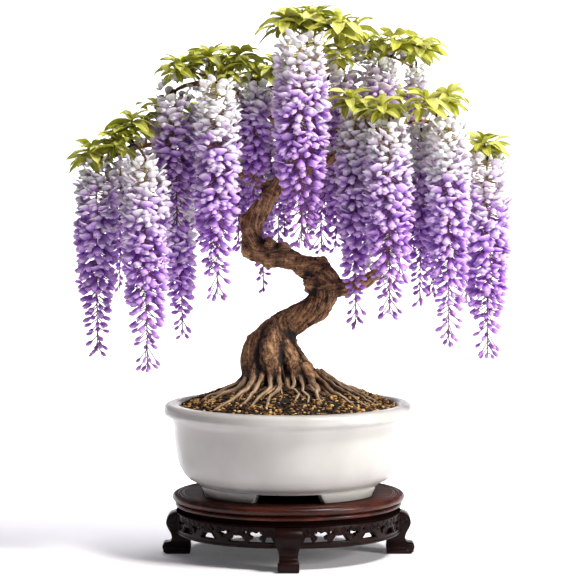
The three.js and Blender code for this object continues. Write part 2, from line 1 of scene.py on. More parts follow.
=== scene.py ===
import math
import random

import bmesh
import bpy
from mathutils import Matrix, Vector, noise
from mathutils.kdtree import KDTree


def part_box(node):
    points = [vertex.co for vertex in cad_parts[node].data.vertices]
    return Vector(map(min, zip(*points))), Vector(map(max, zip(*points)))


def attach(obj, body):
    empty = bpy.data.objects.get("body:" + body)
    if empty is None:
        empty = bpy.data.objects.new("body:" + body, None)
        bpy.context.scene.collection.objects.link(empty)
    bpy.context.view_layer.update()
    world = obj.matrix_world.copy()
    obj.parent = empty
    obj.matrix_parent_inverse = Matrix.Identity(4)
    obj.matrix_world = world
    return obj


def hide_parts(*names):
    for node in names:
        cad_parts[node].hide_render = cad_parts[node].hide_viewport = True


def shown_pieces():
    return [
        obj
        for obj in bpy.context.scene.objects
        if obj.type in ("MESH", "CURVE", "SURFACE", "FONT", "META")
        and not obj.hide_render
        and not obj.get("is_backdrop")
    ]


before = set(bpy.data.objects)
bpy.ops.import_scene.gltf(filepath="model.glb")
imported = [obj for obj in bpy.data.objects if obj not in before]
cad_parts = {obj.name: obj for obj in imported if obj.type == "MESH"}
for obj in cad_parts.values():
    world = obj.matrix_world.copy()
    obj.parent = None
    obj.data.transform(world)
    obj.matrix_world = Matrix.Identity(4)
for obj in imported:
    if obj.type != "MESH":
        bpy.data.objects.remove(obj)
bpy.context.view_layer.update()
scene = bpy.context.scene
mm = 0.001  # sizes below are in millimetres, and meshes are scaled by this at the end


# small tools

upward = Vector((0, 0, 1))
wholeTurn = 2 * math.pi
weldWithin = 0.001


def linearColour(hexText):
    parts = [int(hexText[i:i + 2], 16) / 255 for i in (1, 3, 5)]
    return tuple(c / 12.92 if c <= 0.04045 else ((c + 0.055) / 1.055) ** 2.4 for c in parts) + (1.0,)


def blendOf(a, b, t):
    return a + (b - a) * t


def clamp(value, low=0, high=1):
    return min(high, max(low, value))


def stepped(t, values):
    # reads a list of values that are evenly spread over t from 0 to 1
    exact = clamp(t) * (len(values) - 1)
    low = min(int(exact), len(values) - 2)
    return blendOf(values[low], values[low + 1], exact - low)


def between(table, at):
    # reads a table whose rows each start with a place, at any place along it
    for (here, *a), (there, *b) in zip(table, table[1:]):
        t = (at - here) / (there - here)
        if t <= 1:
            return [blendOf(p, q, max(0, t)) for p, q in zip(a, b)]
    return list(table[-1][1:])


def splineValue(a, b, c, d, t):
    square = (2 * a - 5 * b + 4 * c - d) * t * t
    cube = (3 * b - a - 3 * c + d) * t ** 3
    return 0.5 * (2 * b + (c - a) * t + square + cube)


def smoothPath(points, perSpan=6):
    # a Catmull-Rom line through points, which may carry a radius too
    found = []
    last = len(points) - 1
    for i in range(last):
        around = [points[clamp(j, 0, last)] for j in range(i - 1, i + 3)]
        for step in range(perSpan):
            found.append(tuple(splineValue(*values, step / perSpan) for values in zip(*around)))
    found.append(tuple(points[last]))
    return found


def arcPoints(centre, radius, fromDegrees, toDegrees, steps):
    found = []
    for i in range(steps + 1):
        angle = math.radians(blendOf(fromDegrees, toDegrees, i / steps))
        found.append((centre[0] + radius * math.cos(angle), centre[1] + radius * math.sin(angle)))
    return found


def spiral(centre, size, turns, hand, start, steps, wind, radii):
    # points of x, height and radius along a line that winds in
    found = []
    for i in range(steps + 1):
        t = i / steps
        angle = hand * t * turns * wholeTurn + start
        reach = size * (1 - wind * t)
        x, z = centre[0] + reach * math.cos(angle), centre[1] + reach * math.sin(angle)
        found.append((x, z, blendOf(*radii, t)))
    return found


# materials, one node at a time

def addNode(material, kind, inputs=None, out=0, stops=(), **settings):
    # gives back one output of the new node; an input is a value or another node's output, and stops are the
    # places and colours of a ramp
    node = material.node_tree.nodes.new("ShaderNode" + kind)
    for name, value in settings.items():
        setattr(node, name, value)
    for socket, value in (inputs or {}).items():
        if isinstance(value, bpy.types.NodeSocket):
            material.node_tree.links.new(value, node.inputs[socket])
        else:
            node.inputs[socket].default_value = value
    if stops:
        elements = node.color_ramp.elements
        elements.remove(elements[1])
        elements[0].position = stops[0][0]
        elements[0].color = linearColour(stops[0][1])
        for place, hexText in stops[1:]:
            elements.new(place).color = linearColour(hexText)
    return node.outputs[out] if node.outputs else None


def newMaterial(name):
    material = bpy.data.materials.new(name)
    material.use_nodes = True
    material.node_tree.nodes.clear()
    return material


def surface(material, colour, roughness, normal=None, more=None):
    inputs = {"Base Color": colour, "Roughness": roughness, **(more or {})}
    if normal is not None:
        inputs["Normal"] = normal
    addNode(material, "OutputMaterial", {"Surface": addNode(material, "BsdfPrincipled", inputs)})
    return material


def noiseOf(material, size, detail, vector=None, **more):
    # cloudy noise with lumps of this many millimetres
    if vector is None:
        vector = addNode(material, "TexCoord", out="Object")
    inputs = {"Vector": vector, "Scale": 1 / (size * mm), "Detail": detail, **more}
    return addNode(material, "TexNoise", inputs)


def mathOf(material, operation, *values):
    return addNode(material, "Math", dict(enumerate(values)), operation=operation)


def mixOf(material, share, a, b, blend="MIX"):
    return addNode(material, "Mix", {0: share, 6: a, 7: b}, out=2, data_type="RGBA", blend_type=blend)


def rampOf(material, value, *stops):
    return addNode(material, "ValToRGB", {"Fac": value}, stops=stops)


def rangeOf(material, value, low, high, toLow, toHigh):
    return addNode(material, "MapRange", {
        "Value": value, "From Min": low, "From Max": high, "To Min": toLow, "To Max": toHigh})


def bumpOf(material, height, strength, depth):
    return addNode(material, "Bump", {"Height": height, "Strength": strength, "Distance": depth * mm})


def attributeOf(material, name, out="Fac"):
    return addNode(material, "Attribute", out=out, attribute_name=name)


def variedBy(material, name, cloud, amount):
    # an attribute that a noise shifts up and down a little
    shift = mathOf(material, "MULTIPLY_ADD", cloud, amount, -amount / 2)
    return mathOf(material, "ADD", attributeOf(material, name), shift)


def grainy(name, size, detail, stops, roughness, bump=None, shine=0.5):
    # a material whose one noise gives both its colour and its relief
    material = newMaterial(name)
    grain = noiseOf(material, size, detail)
    colour = rampOf(material, grain, *stops)
    normal = bumpOf(material, grain, *bump) if bump else None
    return surface(material, colour, roughness, normal, {"Specular IOR Level": shine})


# meshes and pieces

def bmeshOf(*meshes):
    bm = bmesh.new()
    for mesh in meshes:
        bm.from_mesh(mesh)
    return bm


def meshOf(bm, name="part"):
    mesh = bpy.data.meshes.new(name)
    bm.to_mesh(mesh)
    bm.free()
    return mesh


def emptyLike(template, layerName):
    # a bmesh without points that keeps a template's point values, with a layer of its own
    bm = bmeshOf(template)
    bmesh.ops.delete(bm, geom=bm.verts[:], context="VERTS")
    return bm, bm.verts.layers.float.new(layerName)


def faceOutwards(bm):
    bmesh.ops.recalc_face_normals(bm, faces=bm.faces)
    return bm


def welded(bm):
    bmesh.ops.remove_doubles(bm, verts=bm.verts, dist=weldWithin)
    return faceOutwards(bm)


def chain(points):
    bm = bmesh.new()
    verts = [bm.verts.new(point) for point in points]
    return bm, verts, [bm.edges.new(pair) for pair in zip(verts, verts[1:])]


def pullOut(bm, extruded, offset):
    moved = [part for part in extruded["geom"] if isinstance(part, bmesh.types.BMVert)]
    bmesh.ops.translate(bm, vec=offset, verts=moved)


def cutAcross(bm, place, normal):
    bmesh.ops.bisect_plane(bm, geom=bm.verts[:] + bm.edges[:] + bm.faces[:], dist=weldWithin,
                           plane_co=place, plane_no=normal)


def roundOver(bm, sharper, offset, clampOverlap):
    # rounds the edges that turn by more than an angle in radians
    edges = [edge for edge in bm.edges if len(edge.link_faces) == 2 and edge.calc_face_angle() > sharper]
    bmesh.ops.bevel(bm, geom=edges, offset=offset, offset_type="OFFSET", affect="EDGES", segments=2,
                    profile=0.5, material=-1, clamp_overlap=clampOverlap)


def softened(mesh, steps):
    bm = bmeshOf(mesh)
    for _ in range(steps):
        bmesh.ops.smooth_vert(bm, verts=bm.verts, factor=0.5,
                              use_axis_x=True, use_axis_y=True, use_axis_z=True)
    return bm


def lathe(profile, steps, angle=wholeTurn, start=0.0):
    # turns a profile of radius and height about Z
    turn = Matrix.Rotation(start, 4, "Z")
    bm, verts, edges = chain([turn @ Vector((r, 0, z)) for r, z in profile])
    bmesh.ops.spin(bm, geom=verts + edges, cent=(0, 0, 0), axis=upward, dvec=(0, 0, 0), angle=angle,
                   steps=steps, use_merge=angle == wholeTurn, use_duplicate=False)
    return welded(bm)


def newSpline(curve, points, closed=False):
    # points of x, y, z, radius
    spline = curve.splines.new("POLY")
    spline.points.add(len(points) - 1)
    spline.use_cyclic_u = closed
    for point, (x, y, z, radius) in zip(spline.points, points):
        point.co = (x, y, z, 1)
        point.radius = radius


def meshOfCurve(curve):
    holder = bpy.data.objects.new("curve", curve)
    scene.collection.objects.link(holder)
    bpy.context.view_layer.update()
    mesh = bpy.data.meshes.new_from_object(holder)
    bpy.data.objects.remove(holder)
    bpy.data.curves.remove(curve)
    bm = welded(bmeshOf(mesh))
    bm.to_mesh(mesh)
    bm.free()
    return mesh


def sweep(paths, roundness):
    # one closed tube for each path, with 4 + 2 * roundness sides
    curve = bpy.data.curves.new("sweep", "CURVE")
    curve.dimensions = "3D"
    curve.bevel_depth = 1
    curve.bevel_resolution = roundness
    curve.use_fill_caps = True
    for path in paths:
        newSpline(curve, path)
    return meshOfCurve(curve)


def remeshed(mesh, voxel):
    holder = bpy.data.objects.new("remesh", mesh)
    scene.collection.objects.link(holder)
    modifier = holder.modifiers.new("remesh", "REMESH")
    modifier.mode = "VOXEL"
    modifier.voxel_size = voxel
    bpy.context.view_layer.update()
    done = bpy.data.meshes.new_from_object(holder.evaluated_get(bpy.context.evaluated_depsgraph_get()))
    bpy.data.objects.remove(holder)
    bpy.data.meshes.remove(mesh)
    return done


def stamp(bm, template, matrix, layer=None, value=0):
    # adds a transformed copy of a template and writes one value on its points
    copy = template.copy()
    copy.transform(matrix)
    start = len(bm.verts)
    bm.from_mesh(copy)
    bpy.data.meshes.remove(copy)
    if layer:
        bm.verts.ensure_lookup_table()
        for vert in bm.verts[start:]:
            vert[layer] = value


def aimedAt(place, direction, roll=0.0, size=1.0):
    # a matrix that puts X along direction, and Z as near to upward as it can
    x = direction.normalized()
    y = upward.cross(x).normalized()
    turned = Matrix((x, y, x.cross(y))).transposed().to_4x4()
    return Matrix.Translation(place) @ (turned @ Matrix.Rotation(roll, 4, "X") @ Matrix.Scale(size, 4))


def addPiece(name, shape, materials, nodes=(), sharp=45):
    # makes an object of a bmesh or a mesh in millimetres, rides it and says what it stands for
    mesh = meshOf(shape) if isinstance(shape, bmesh.types.BMesh) else shape
    mesh.name = name
    mesh.transform(Matrix.Scale(mm, 4))
    for material in materials:
        mesh.materials.append(material)
    mesh.shade_smooth()
    mesh.set_sharp_from_angle(angle=math.radians(sharp))
    piece = bpy.data.objects.new(name, mesh)
    scene.collection.objects.link(piece)
    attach(piece, "root")
    if nodes:
        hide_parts(*nodes)


# camera, lights and stage

view = {
    "distance": 4500, "height": 750, "aimHeight": 428, "across": -0.8, "lens": 175.75, "sensor": 36,
    "farEnd": 100,
}
studio = {
    "key": {"place": (1.9, -1.3, 3.9), "aim": (0, 0, 0.45), "size": 1.1, "power": 180, "colour": "#fffcf7"},
    "side": {"place": (2.9, -1.7, 1.2), "aim": (0, 0, 0.4), "size": 1.0, "power": 84, "colour": "#fffcf7"},
    "top": {"place": (-0.2, 0.7, 3.4), "aim": (0, 0, 0.45), "size": 1.8, "power": 36, "colour": "#ffffff"},
    "backdrop": {"place": (0, 1.3, 2.6), "aim": (0, 4.6, 0.5), "size": 2.0, "power": 220, "colour": "#ffffff"},
}
daylight = {"colour": "#f8f6ff", "strength": 0.1}
# in metres, and lit from behind too, so that it stays white round the object
paper = {
    "colour": "#f7f5fa", "glow": 0.065, "front": -7, "bendFrom": 3, "bend": 2, "bendEnd": -26, "width": 16,
}


def placeAndAim(holder, place, aim):
    holder.location = place
    holder.rotation_euler = (Vector(aim) - holder.location).to_track_quat("-Z", "Y").to_euler()
    scene.collection.objects.link(holder)


def makeCamera():
    camera = bpy.data.objects.new("camera", bpy.data.cameras.new("camera"))
    camera.data.lens = view["lens"]
    camera.data.sensor_width = view["sensor"]
    camera.data.clip_end = view["farEnd"]
    place = Vector((view["across"], -view["distance"], view["height"])) * mm
    placeAndAim(camera, place, Vector((view["across"], 0, view["aimHeight"])) * mm)
    scene.camera = camera


def makeLights():
    for name, light in studio.items():
        lamp = bpy.data.lights.new(name, "AREA")
        lamp.shape = "DISK"
        lamp.size = light["size"]
        lamp.energy = light["power"]
        lamp.color = linearColour(light["colour"])[:3]
        placeAndAim(bpy.data.objects.new(name, lamp), light["place"], light["aim"])
    world = bpy.data.worlds.new("white room")
    world.use_nodes = True
    background = world.node_tree.nodes["Background"]
    background.inputs["Color"].default_value = linearColour(daylight["colour"])
    background.inputs["Strength"].default_value = daylight["strength"]
    scene.world = world
    scene.view_settings.view_transform = "Standard"


def makeStage():
    # a floor that curves up behind, no higher than the camera needs, so that the back can be seen too
    start, bend = paper["bendFrom"], paper["bend"]
    profile = [(paper["front"], 0)] + arcPoints((start, bend), bend, -90, paper["bendEnd"], 12)
    bm, _, edges = chain([(-paper["width"] / 2, y, z) for y, z in profile])
    pullOut(bm, bmesh.ops.extrude_edge_only(bm, edges=edges), (paper["width"], 0, 0))
    mesh = meshOf(faceOutwards(bm), "floor")
    mesh.shade_smooth()
    # Matt white paper from a roll, a little blue: it takes soft shadows and shines back on the tree
    white = newMaterial("matt white studio paper")
    glow = {"Emission Color": linearColour("#ffffff"), "Emission Strength": paper["glow"]}
    mesh.materials.append(surface(white, linearColour(paper["colour"]), 0.9, None, glow))
    floor = bpy.data.objects.new("floor", mesh)
    scene.collection.objects.link(floor)
    floor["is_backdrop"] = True


makeCamera()
makeLights()
makeStage()
print("camera, lights and stage done")


# materials of the stand and the pot

rosewoodLook = {"pore": 1.1, "figure": 14, "stretch": 16}


def makeRosewood(name, dark, middle, light, gloss, shine):
    # Carved rosewood, stained and rubbed with lacquer: near black with lighter red patches where its figure
    # noise is high, fine pores that run with the grain, and a soft gloss
    wood = newMaterial(name)
    place = addNode(wood, "TexCoord", out="Object")
    along = addNode(wood, "Mapping", {"Vector": place, "Scale": (1 / rosewoodLook["stretch"], 1, 1)})
    pores = noiseOf(wood, rosewoodLook["pore"], 4, along, Roughness=0.6)
    figure = noiseOf(wood, rosewoodLook["figure"], 3, along, Distortion=0.6)
    grain = mathOf(wood, "MULTIPLY_ADD", pores, 0.45, 0.0)
    both = mathOf(wood, "MULTIPLY_ADD", figure, 0.6, grain)
    tone = rampOf(wood, both, (0.3, dark), (0.5, middle), (0.72, light))
    rubbed = rangeOf(wood, pores, 0.3, 0.75, gloss, gloss + 0.16)
    return surface(wood, tone, rubbed, bumpOf(wood, pores, 0.12, 0.3), {
        "Specular IOR Level": shine, "Coat Weight": shine * 0.2, "Coat Roughness": 0.2})


def makeGlaze():
    # White glazed stoneware, dipped and fired: warm white, faintly uneven where the glaze ran, glossy
    glaze = newMaterial("white glazed stoneware")
    tone = rampOf(glaze, noiseOf(glaze, 60, 2), (0.3, "#bcbab6"), (0.55, "#c4c2be"), (0.8, "#cac9c5"))
    return surface(glaze, tone, 0.34, bumpOf(glaze, noiseOf(glaze, 7, 3), 0.05, 0.4), {
        "Specular IOR Level": 0.35, "Coat Weight": 0.2, "Coat Roughness": 0.12})


# The board's copy has lighter, redder tones as painted light from above; the carving's copy, for the legs and
# aprons, has darker tones as painted shade
boardWoodPaintedLit = makeRosewood("lacquered rosewood board painted lit", "#180604", "#311109", "#622816", 0.26, 0.27)
rubbedWood = makeRosewood("rubbed rosewood board top", "#1c0a07", "#36160f", "#5c3023", 0.5, 0.05)
# Matt and near black: painted shade on the board's top under the pot and on the waist under the board
dullWoodPaintedShade = makeRosewood("matt rosewood painted as shade", "#0b0504", "#120807", "#190b08", 0.8, 0.0)
carvingWoodPaintedShade = makeRosewood("lacquered rosewood carving painted shaded", "#0b0404", "#150807", "#29120f", 0.3, 0.11)
# Unglazed stoneware, the wiped underside of the pot: matt with a sandy grit, and very dark grey brown as
# painted shade under the pot
bareClayPaintedShade = grainy("unglazed stoneware painted dark as shade", 2, 3, [(0.3, "#1d1815"), (0.7, "#2e2722")], 0.85, (0.3, 0.3), 0.0)
# Injection-moulded polyethylene mesh: dull dark grey with a fine moulding grain
drainMesh = grainy("moulded polyethylene mesh", 1.5, 2, [(0.35, "#161717"), (0.65, "#262828")], 0.6,
                   (0.2, 0.2))
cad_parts["drain_screen"].data.materials.clear()
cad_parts["drain_screen"].data.materials.append(drainMesh)


# the stand

stand = {
    "boardRadius": 187, "boardTop": 98.5, "boardBottom": 78, "lowerRoll": 3.4, "upperRoll": 6.0,
    "lowerInset": 4.6, "grooves": [(176, 1.2, 1.2), (169.5, 0.8, 0.6)], "dullShadedRadius": 138, "slope": 0.6,
    "facets": 128, "waistRadius": 181, "waistBottom": 68, "gap": 0.3, "apronInner": 170, "apronOuter": 180,
    "apronBottom": 35, "apronDip": 1, "tenon": 13, "bead": 1.35, "beadLift": 2.0, "lowerBead": 1.5,
    "lowerBeadLift": 2.2, "bendEvery": 3,
    "scrolls": [(5.4, 60, 4.6, -1), (23, 60, 4.6, 1), (37, 62.6, 3.6, -1), (52, 61, 5, 1),
                (63.5, 60.5, 4.6, -1), (78, 62.4, 3.8, 1), (100, 61, 5, -1), (113, 60, 5, 1)],
}


def makeBoard():
    # a narrow roll, a quirk and a wide roll above it, then two turned grooves on the top; under the pot the
    # top is matt and near black, as painted shade
    r, top, low, dullShaded = (stand[name] for name in ("boardRadius", "boardTop", "boardBottom", "dullShadedRadius"))
    small, large, slope = stand["lowerRoll"], stand["upperRoll"], stand["slope"]
    inner = r - stand["lowerInset"] - small
    profile = [(0, low), (inner - 1, low)] + arcPoints((inner, low + small), small, -80, 80, 7)
    profile += [(inner - 1, low + 2 * small + slope), (r - large, top - 2 * large - 0.1)]
    profile += arcPoints((r - large - 0.1, top - large), large, -75, 90, 10)
    for middle, half, deep in stand["grooves"]:
        profile += [(middle + half + slope, top), (middle + half, top - deep), (middle - half, top - deep),
                    (middle - half - slope, top)]
    bm = lathe(profile + [(dullShaded, top), (0, top)], stand["facets"])
    for face in bm.faces:
        if face.normal.z > 0.9:
            face.material_index = 1 if math.hypot(*face.calc_center_median().xy) < dullShaded else 2
    addPiece("stand_board", bm, [boardWoodPaintedLit, dullWoodPaintedShade, rubbedWood], ["stand_top"], 35)


def makeWaist():
    # a bead and a cove under the board, near black as painted shade
    r, low = stand["waistRadius"], stand["waistBottom"]
    top = stand["boardBottom"] - stand["gap"]
    profile = [(0, low), (r - 2, low)] + arcPoints((r - 2.2, low + 2), 2.0, -90, 90, 6)
    profile += [(r - 4.4, low + 4.6), (r - 5.4, low + 6.6), (r - 5.6, top), (0, top)]
    addPiece("stand_moulding", lathe(profile, stand["facets"]), [dullWoodPaintedShade], ["stand_waist"], 35)


# side view of a leg, as distance from the stand's axis and height
legSide = [
    (152, 67.7), (154, 44), (158, 26), (157.4, 12), (158.6, 3), (162, 0), (194, 0), (199.6, 3), (202.6, 9),
    (202.4, 14.5), (198.8, 18), (193, 18.6), (189.4, 21), (188, 26.5), (189.6, 34), (193.6, 42),
    (196.6, 50), (195.6, 58), (191, 64.4), (183, 67.7),
]
# half width of a leg at each height: a grooved foot, a slim ankle and shoulders that spread under the top
legHalfWidth = [
    (0, 15.6), (1.2, 16.4), (5.4, 16.4), (6.4, 15.4), (7.4, 16.4), (10, 16.2), (11, 15.1), (12.2, 15.8),
    (15, 14.8), (21, 14.4), (29, 15.2), (34, 16.6), (38, 18.4), (44, 19.8), (54, 20.6), (64, 21), (68, 21),
]
# scrolls on both cheeks of the knee and the foot: middle, size, turns, hand, the angle each starts at
legScrolls = [((195.6, 9.6), 7.2, 1.7, -1, -0.6), ((187, 55), 6.4, 1.4, 1, 2.4)]


def halfWidthAt(height):
    return between(legHalfWidth, height)[0]


def makeLegs():
    bm = bmesh.new()
    side = bm.faces.new([bm.verts.new((x, -0.5, z)) for x, z in smoothPath(legSide, 3)])
    pullOut(bm, bmesh.ops.extrude_face_region(bm, geom=[side]), (0, 1, 0))
    for height, _ in legHalfWidth[1:-1]:
        cutAcross(bm, (0, 0, height), upward)
    for vert in bm.verts:
        vert.co.z = max(0, vert.co.z)
        vert.co.y *= 2 * halfWidthAt(vert.co.z)
    roundOver(faceOutwards(bm), 0.7, 1.6, True)
    mesh = meshOf(bm)
    scrolls = []
    for sign in (-1, 1):
        for centre, size, turns, hand, start in legScrolls:
            cheek = sign * (halfWidthAt(centre[1]) - 0.5)
            line = spiral(centre, size, turns, hand, start, 24, 0.8, (1.3, 0.9))
            scrolls.append([(x, cheek, z, radius) for x, z, radius in line])
    carved = sweep(scrolls, 1)
    for i in range(4):
        turn = Matrix.Rotation(math.radians(90 * i - 90), 4, "Z")
        whole = bmesh.new()
        stamp(whole, mesh, turn)
        stamp(whole, carved, turn)
        addPiece(f"stand_carved_leg_{i + 1}", whole, [carvingWoodPaintedShade], [f"stand_leg_{i + 1}"], 40)


# cloud openings of an apron: kind, distance from its middle along the arc, height of its foot, width, height
openings = [
    ("moon", 0, 43, 33, 11), ("bud", 30.5, 48.5, 18, 12), ("moon", 57, 43, 32, 12),
    ("cloud", 88.5, 43, 25, 18), ("moon", 110.5, 43, 17, 11), ("dot", 12, 57, 5.6, 5.6),
    ("dot", 44, 57, 5.4, 5.4), ("dot", 71.5, 55.5, 6.4, 6.4),
]
# outlines of openings, as shares of half the width and of the height
bud = [
    (-0.22, 0), (0.22, 0), (0.3, 0.4), (1, 0.5), (0.9, 0.95), (0.35, 1), (0, 0.78), (-0.35, 1),
    (-0.9, 0.95), (-1, 0.5), (-0.3, 0.4),
]
cloud = [
    (-1, 0), (1, 0), (0.98, 0.16), (0.6, 0.36), (0.62, 0.55), (1, 0.7), (0.95, 0.92), (0.5, 1),
    (0.12, 0.86), (-0.3, 0.97), (-0.85, 0.9), (-0.95, 0.66), (-0.5, 0.5), (-0.55, 0.3), (-1, 0.18),
]


def openingOutline(kind, width, height):
    half = width / 2
    if kind == "dot":
        return arcPoints((0, half), half, 0, 345, 11)
    if kind == "moon":  # flat foot and three lobes over it
        lobes = []
        for i in range(1, 18):
            angle = math.pi * i / 18
            swell = 1 - 0.13 * abs(math.sin(angle * 3))
            lobes.append((half * swell * math.cos(angle), 1 + (height - 1) * swell * math.sin(angle)))
        return [(-half, 0), (half, 0)] + lobes
    return [(half * x, height * z) for x, z in (bud if kind == "bud" else cloud)]


def beadOver(shape, height, sign, away, foot):
    # a raised bead that follows an opening a little outside it
    centre = height * 0.35
    path = []
    for x, z in shape[1:]:
        far = math.hypot(x, z - centre)
        grow = (far + stand["beadLift"]) / far
        path.append((sign * (away + x * grow), foot + centre + (z - centre) * grow, 0, stand["bead"]))
    return path


def makeAprons():
    # each is made flat, with half its length along the arc up to the tenons in the legs, and then bent round
    outer, inner = stand["apronOuter"], stand["apronInner"]
    top = stand["waistBottom"] - stand["gap"]
    reach = (math.pi / 4 - math.asin(stand["tenon"] / inner)) * outer
    thick = outer - inner
    curve = bpy.data.curves.new("apron", "CURVE")
    curve.dimensions = "2D"
    curve.fill_mode = "BOTH"
    curve.extrude = thick / 2 - 1
    curve.bevel_depth = 0.7
    curve.bevel_resolution = 1
    edge = []
    for i in range(33):
        u = blendOf(reach, -reach, i / 32)
        edge.append((u, stand["apronBottom"] + stand["apronDip"] * (1 - math.cos(u / reach * math.pi / 2))))
    rings = [[(-reach, top), (reach, top)] + edge]
    beads = []
    for kind, away, foot, width, height in openings:
        for sign in ((1,) if away == 0 else (-1, 1)):
            shape = openingOutline(kind, width, height)
            rings.append([(sign * away + sign * x, foot + z) for x, z in shape])
            if kind != "dot":
                beads.append(beadOver(shape, height, sign, away, foot))
    for ring in rings:
        newSpline(curve, [(u, z, 0, 1) for u, z in ring], True)
    bm = bmeshOf(meshOfCurve(curve))
    # scrolls between the openings, and a bead along the lower edge
    for away, foot, size, hand in stand["scrolls"]:
        line = spiral((away, foot), size, 1.3, hand, math.pi / 2, 16, 0.75, (stand["bead"], 1.0))
        beads += [[(sign * x, z, 0, radius) for x, z, radius in line] for sign in (-1, 1)]
    beads.append([(u, z + stand["lowerBeadLift"], 0, stand["lowerBead"]) for u, z in edge])
    carving = sweep(beads, 1)
    carving.transform(Matrix.Translation((0, 0, thick / 2 - 0.3)))
    strips = int(reach / stand["bendEvery"])
    for i in range(-strips, strips + 1):
        cutAcross(bm, (i * stand["bendEvery"], 0, 0), (1, 0, 0))
    bm.from_mesh(carving)
    for vert in bm.verts:
        angle = vert.co.x / outer
        radius = (inner + outer) / 2 + vert.co.z
        vert.co = (radius * math.sin(angle), -radius * math.cos(angle), vert.co.y)
    mesh = meshOf(faceOutwards(bm))
    for i in range(4):
        copy = mesh.copy()
        copy.transform(Matrix.Rotation(math.radians(45 + 90 * i), 4, "Z"))
        addPiece(f"stand_fretwork_{i + 1}", copy, [carvingWoodPaintedShade], [f"stand_apron_{i + 1}"], 40)


makeBoard()
makeWaist()
makeLegs()
makeAprons()
print("stand done")


# the pot

pot = {
    "base": 98.8, "drain": 13, "floor": 22, "foot": 13, "facets": 144,
    "outside": [(141, 13.5), (144, 14.4), (146.5, 17.6), (152, 20), (164, 27), (173.5, 41), (179.5, 58),
                (183.5, 86), (185.2, 108), (186.8, 117), (190.5, 122.4), (196, 125.6)],
    "inside": [(177, 141), (174.6, 134), (171, 96), (168, 60), (158, 34), (140, 22.6)],
    "lip": [((194.4, 131.4), 6.1, -70, 20, 7), ((190.4, 134.4), 10.4, 12, 96, 8),
            ((182, 139.5), 5.4, 80, 165, 5)],
    "footOuter": 147, "footInner": 125, "footSpan": 48, "footSteps": 14, "footShare": (0.9, 1.04),
}


def makeFoot(middle):
    # one of the feet: it leans in, and its ends slant, so that it is shorter along the arc at the bottom
    inner, outer, high = pot["footInner"], pot["footOuter"], pot["foot"]
    section = [(inner, 0), (outer - 4.4, 0), (outer - 3, 1.2), (outer + 0.6, high + 2), (inner, high + 2)]
    span = math.radians(pot["footSpan"])
    foot = lathe(section + section[:1], pot["footSteps"], span, middle - span / 2)
    bmesh.ops.holes_fill(foot, edges=foot.edges, sides=0)
    for vert in foot.verts:
        off = (math.atan2(vert.co.y, vert.co.x) - middle + math.pi) % wholeTurn - math.pi
        angle = middle + off * blendOf(*pot["footShare"], min(1, vert.co.z / high))
        radius = math.hypot(vert.co.x, vert.co.y)
        vert.co.x = radius * math.cos(angle)
        vert.co.y = radius * math.sin(angle)
    roundOver(faceOutwards(foot), 0.8, 0.8, False)
    return meshOf(foot)


def makePot():
    # bowl with a rolled lip, and four feet; what the glaze was wiped off is bare clay, painted near black as
    # shade
    under, over, inside = (arcPoints(*arc) for arc in pot["lip"])
    lip = under + over[1:] + inside
    hole = [(pot["drain"], pot["foot"])]
    profile = hole + smoothPath(pot["outside"], 4) + lip + smoothPath(pot["inside"], 4)
    bm = lathe(profile + [(pot["drain"], pot["floor"])] + hole, pot["facets"])
    for i in range(4):
        bm.from_mesh(makeFoot(math.radians(45 + 90 * i)))
    bm.normal_update()
    for face in bm.faces:
        within = max(math.hypot(v.co.x, v.co.y) for v in face.verts) < pot["footInner"] + 0.5
        if face.calc_center_median().z < pot["foot"] + 1 and (within or face.normal.z < -0.9):
            face.material_index = 1
    bmesh.ops.translate(bm, vec=(0, 0, pot["base"]), verts=bm.verts)
    addPiece("glazed_pot", bm, [makeGlaze(), bareClayPaintedShade], ["pot"], 50)


makePot()
print("pot done")


# the soil

soil = {
    "floor": 123, "floorRadius": 135, "edgeRadius": 173, "edgeHeight": 238.5, "mound": 46,
    "moundRadius": 174, "power": 1.6, "relief": 1.6, "rings": 42, "facets": 128, "bedTone": 0.05, "seed": 7,
    "chips": 4500, "chip": 2.8, "chipSizes": (0.55, 1.35), "chipTilt": 0.5, "chipRise": (-0.6, 0.9),
    "shreds": 0.45, "shredSize": 0.75, "shredLength": (1.8, 3.2), "grainLength": (0.9, 1.6),
    "darkWithin": 62, "lightBeyond": 118, "darkest": 0.3, "sides": [(166, 158.8), (173, 239)],
    "tones": (0.05, 0.12, 0.2, 0.35, 0.5, 0.7, 0.85, 1.0),
}


def soilHeight(x, y):
    out = min(1, math.hypot(x, y) / soil["moundRadius"])
    mound = soil["mound"] * (1 - out ** soil["power"])
    uneven = math.sin(x * 0.11 + 1.3) * math.cos(y * 0.13) + 0.6 * math.sin(x * 0.31 - y * 0.27)
    return soil["edgeHeight"] + mound + soil["relief"] * uneven * (1 - out ** 4)


def makeSoilMaterial():
    # Akadama and bark mix, fired clay crumbs with shreds of bark: dark brown with golden tan grains
    crumb = newMaterial("fired clay and bark crumb")
    grit = noiseOf(crumb, 1.8, 4, Roughness=0.7)
    colour = rampOf(crumb, variedBy(crumb, "tone", grit, 0.5), (0.0, "#0e0806"), (0.3, "#352112"),
                    (0.55, "#714b24"), (0.78, "#b58340"), (1.0, "#e3bd77"))
    return surface(crumb, colour, 0.85, bumpOf(crumb, grit, 0.7, 0.8))


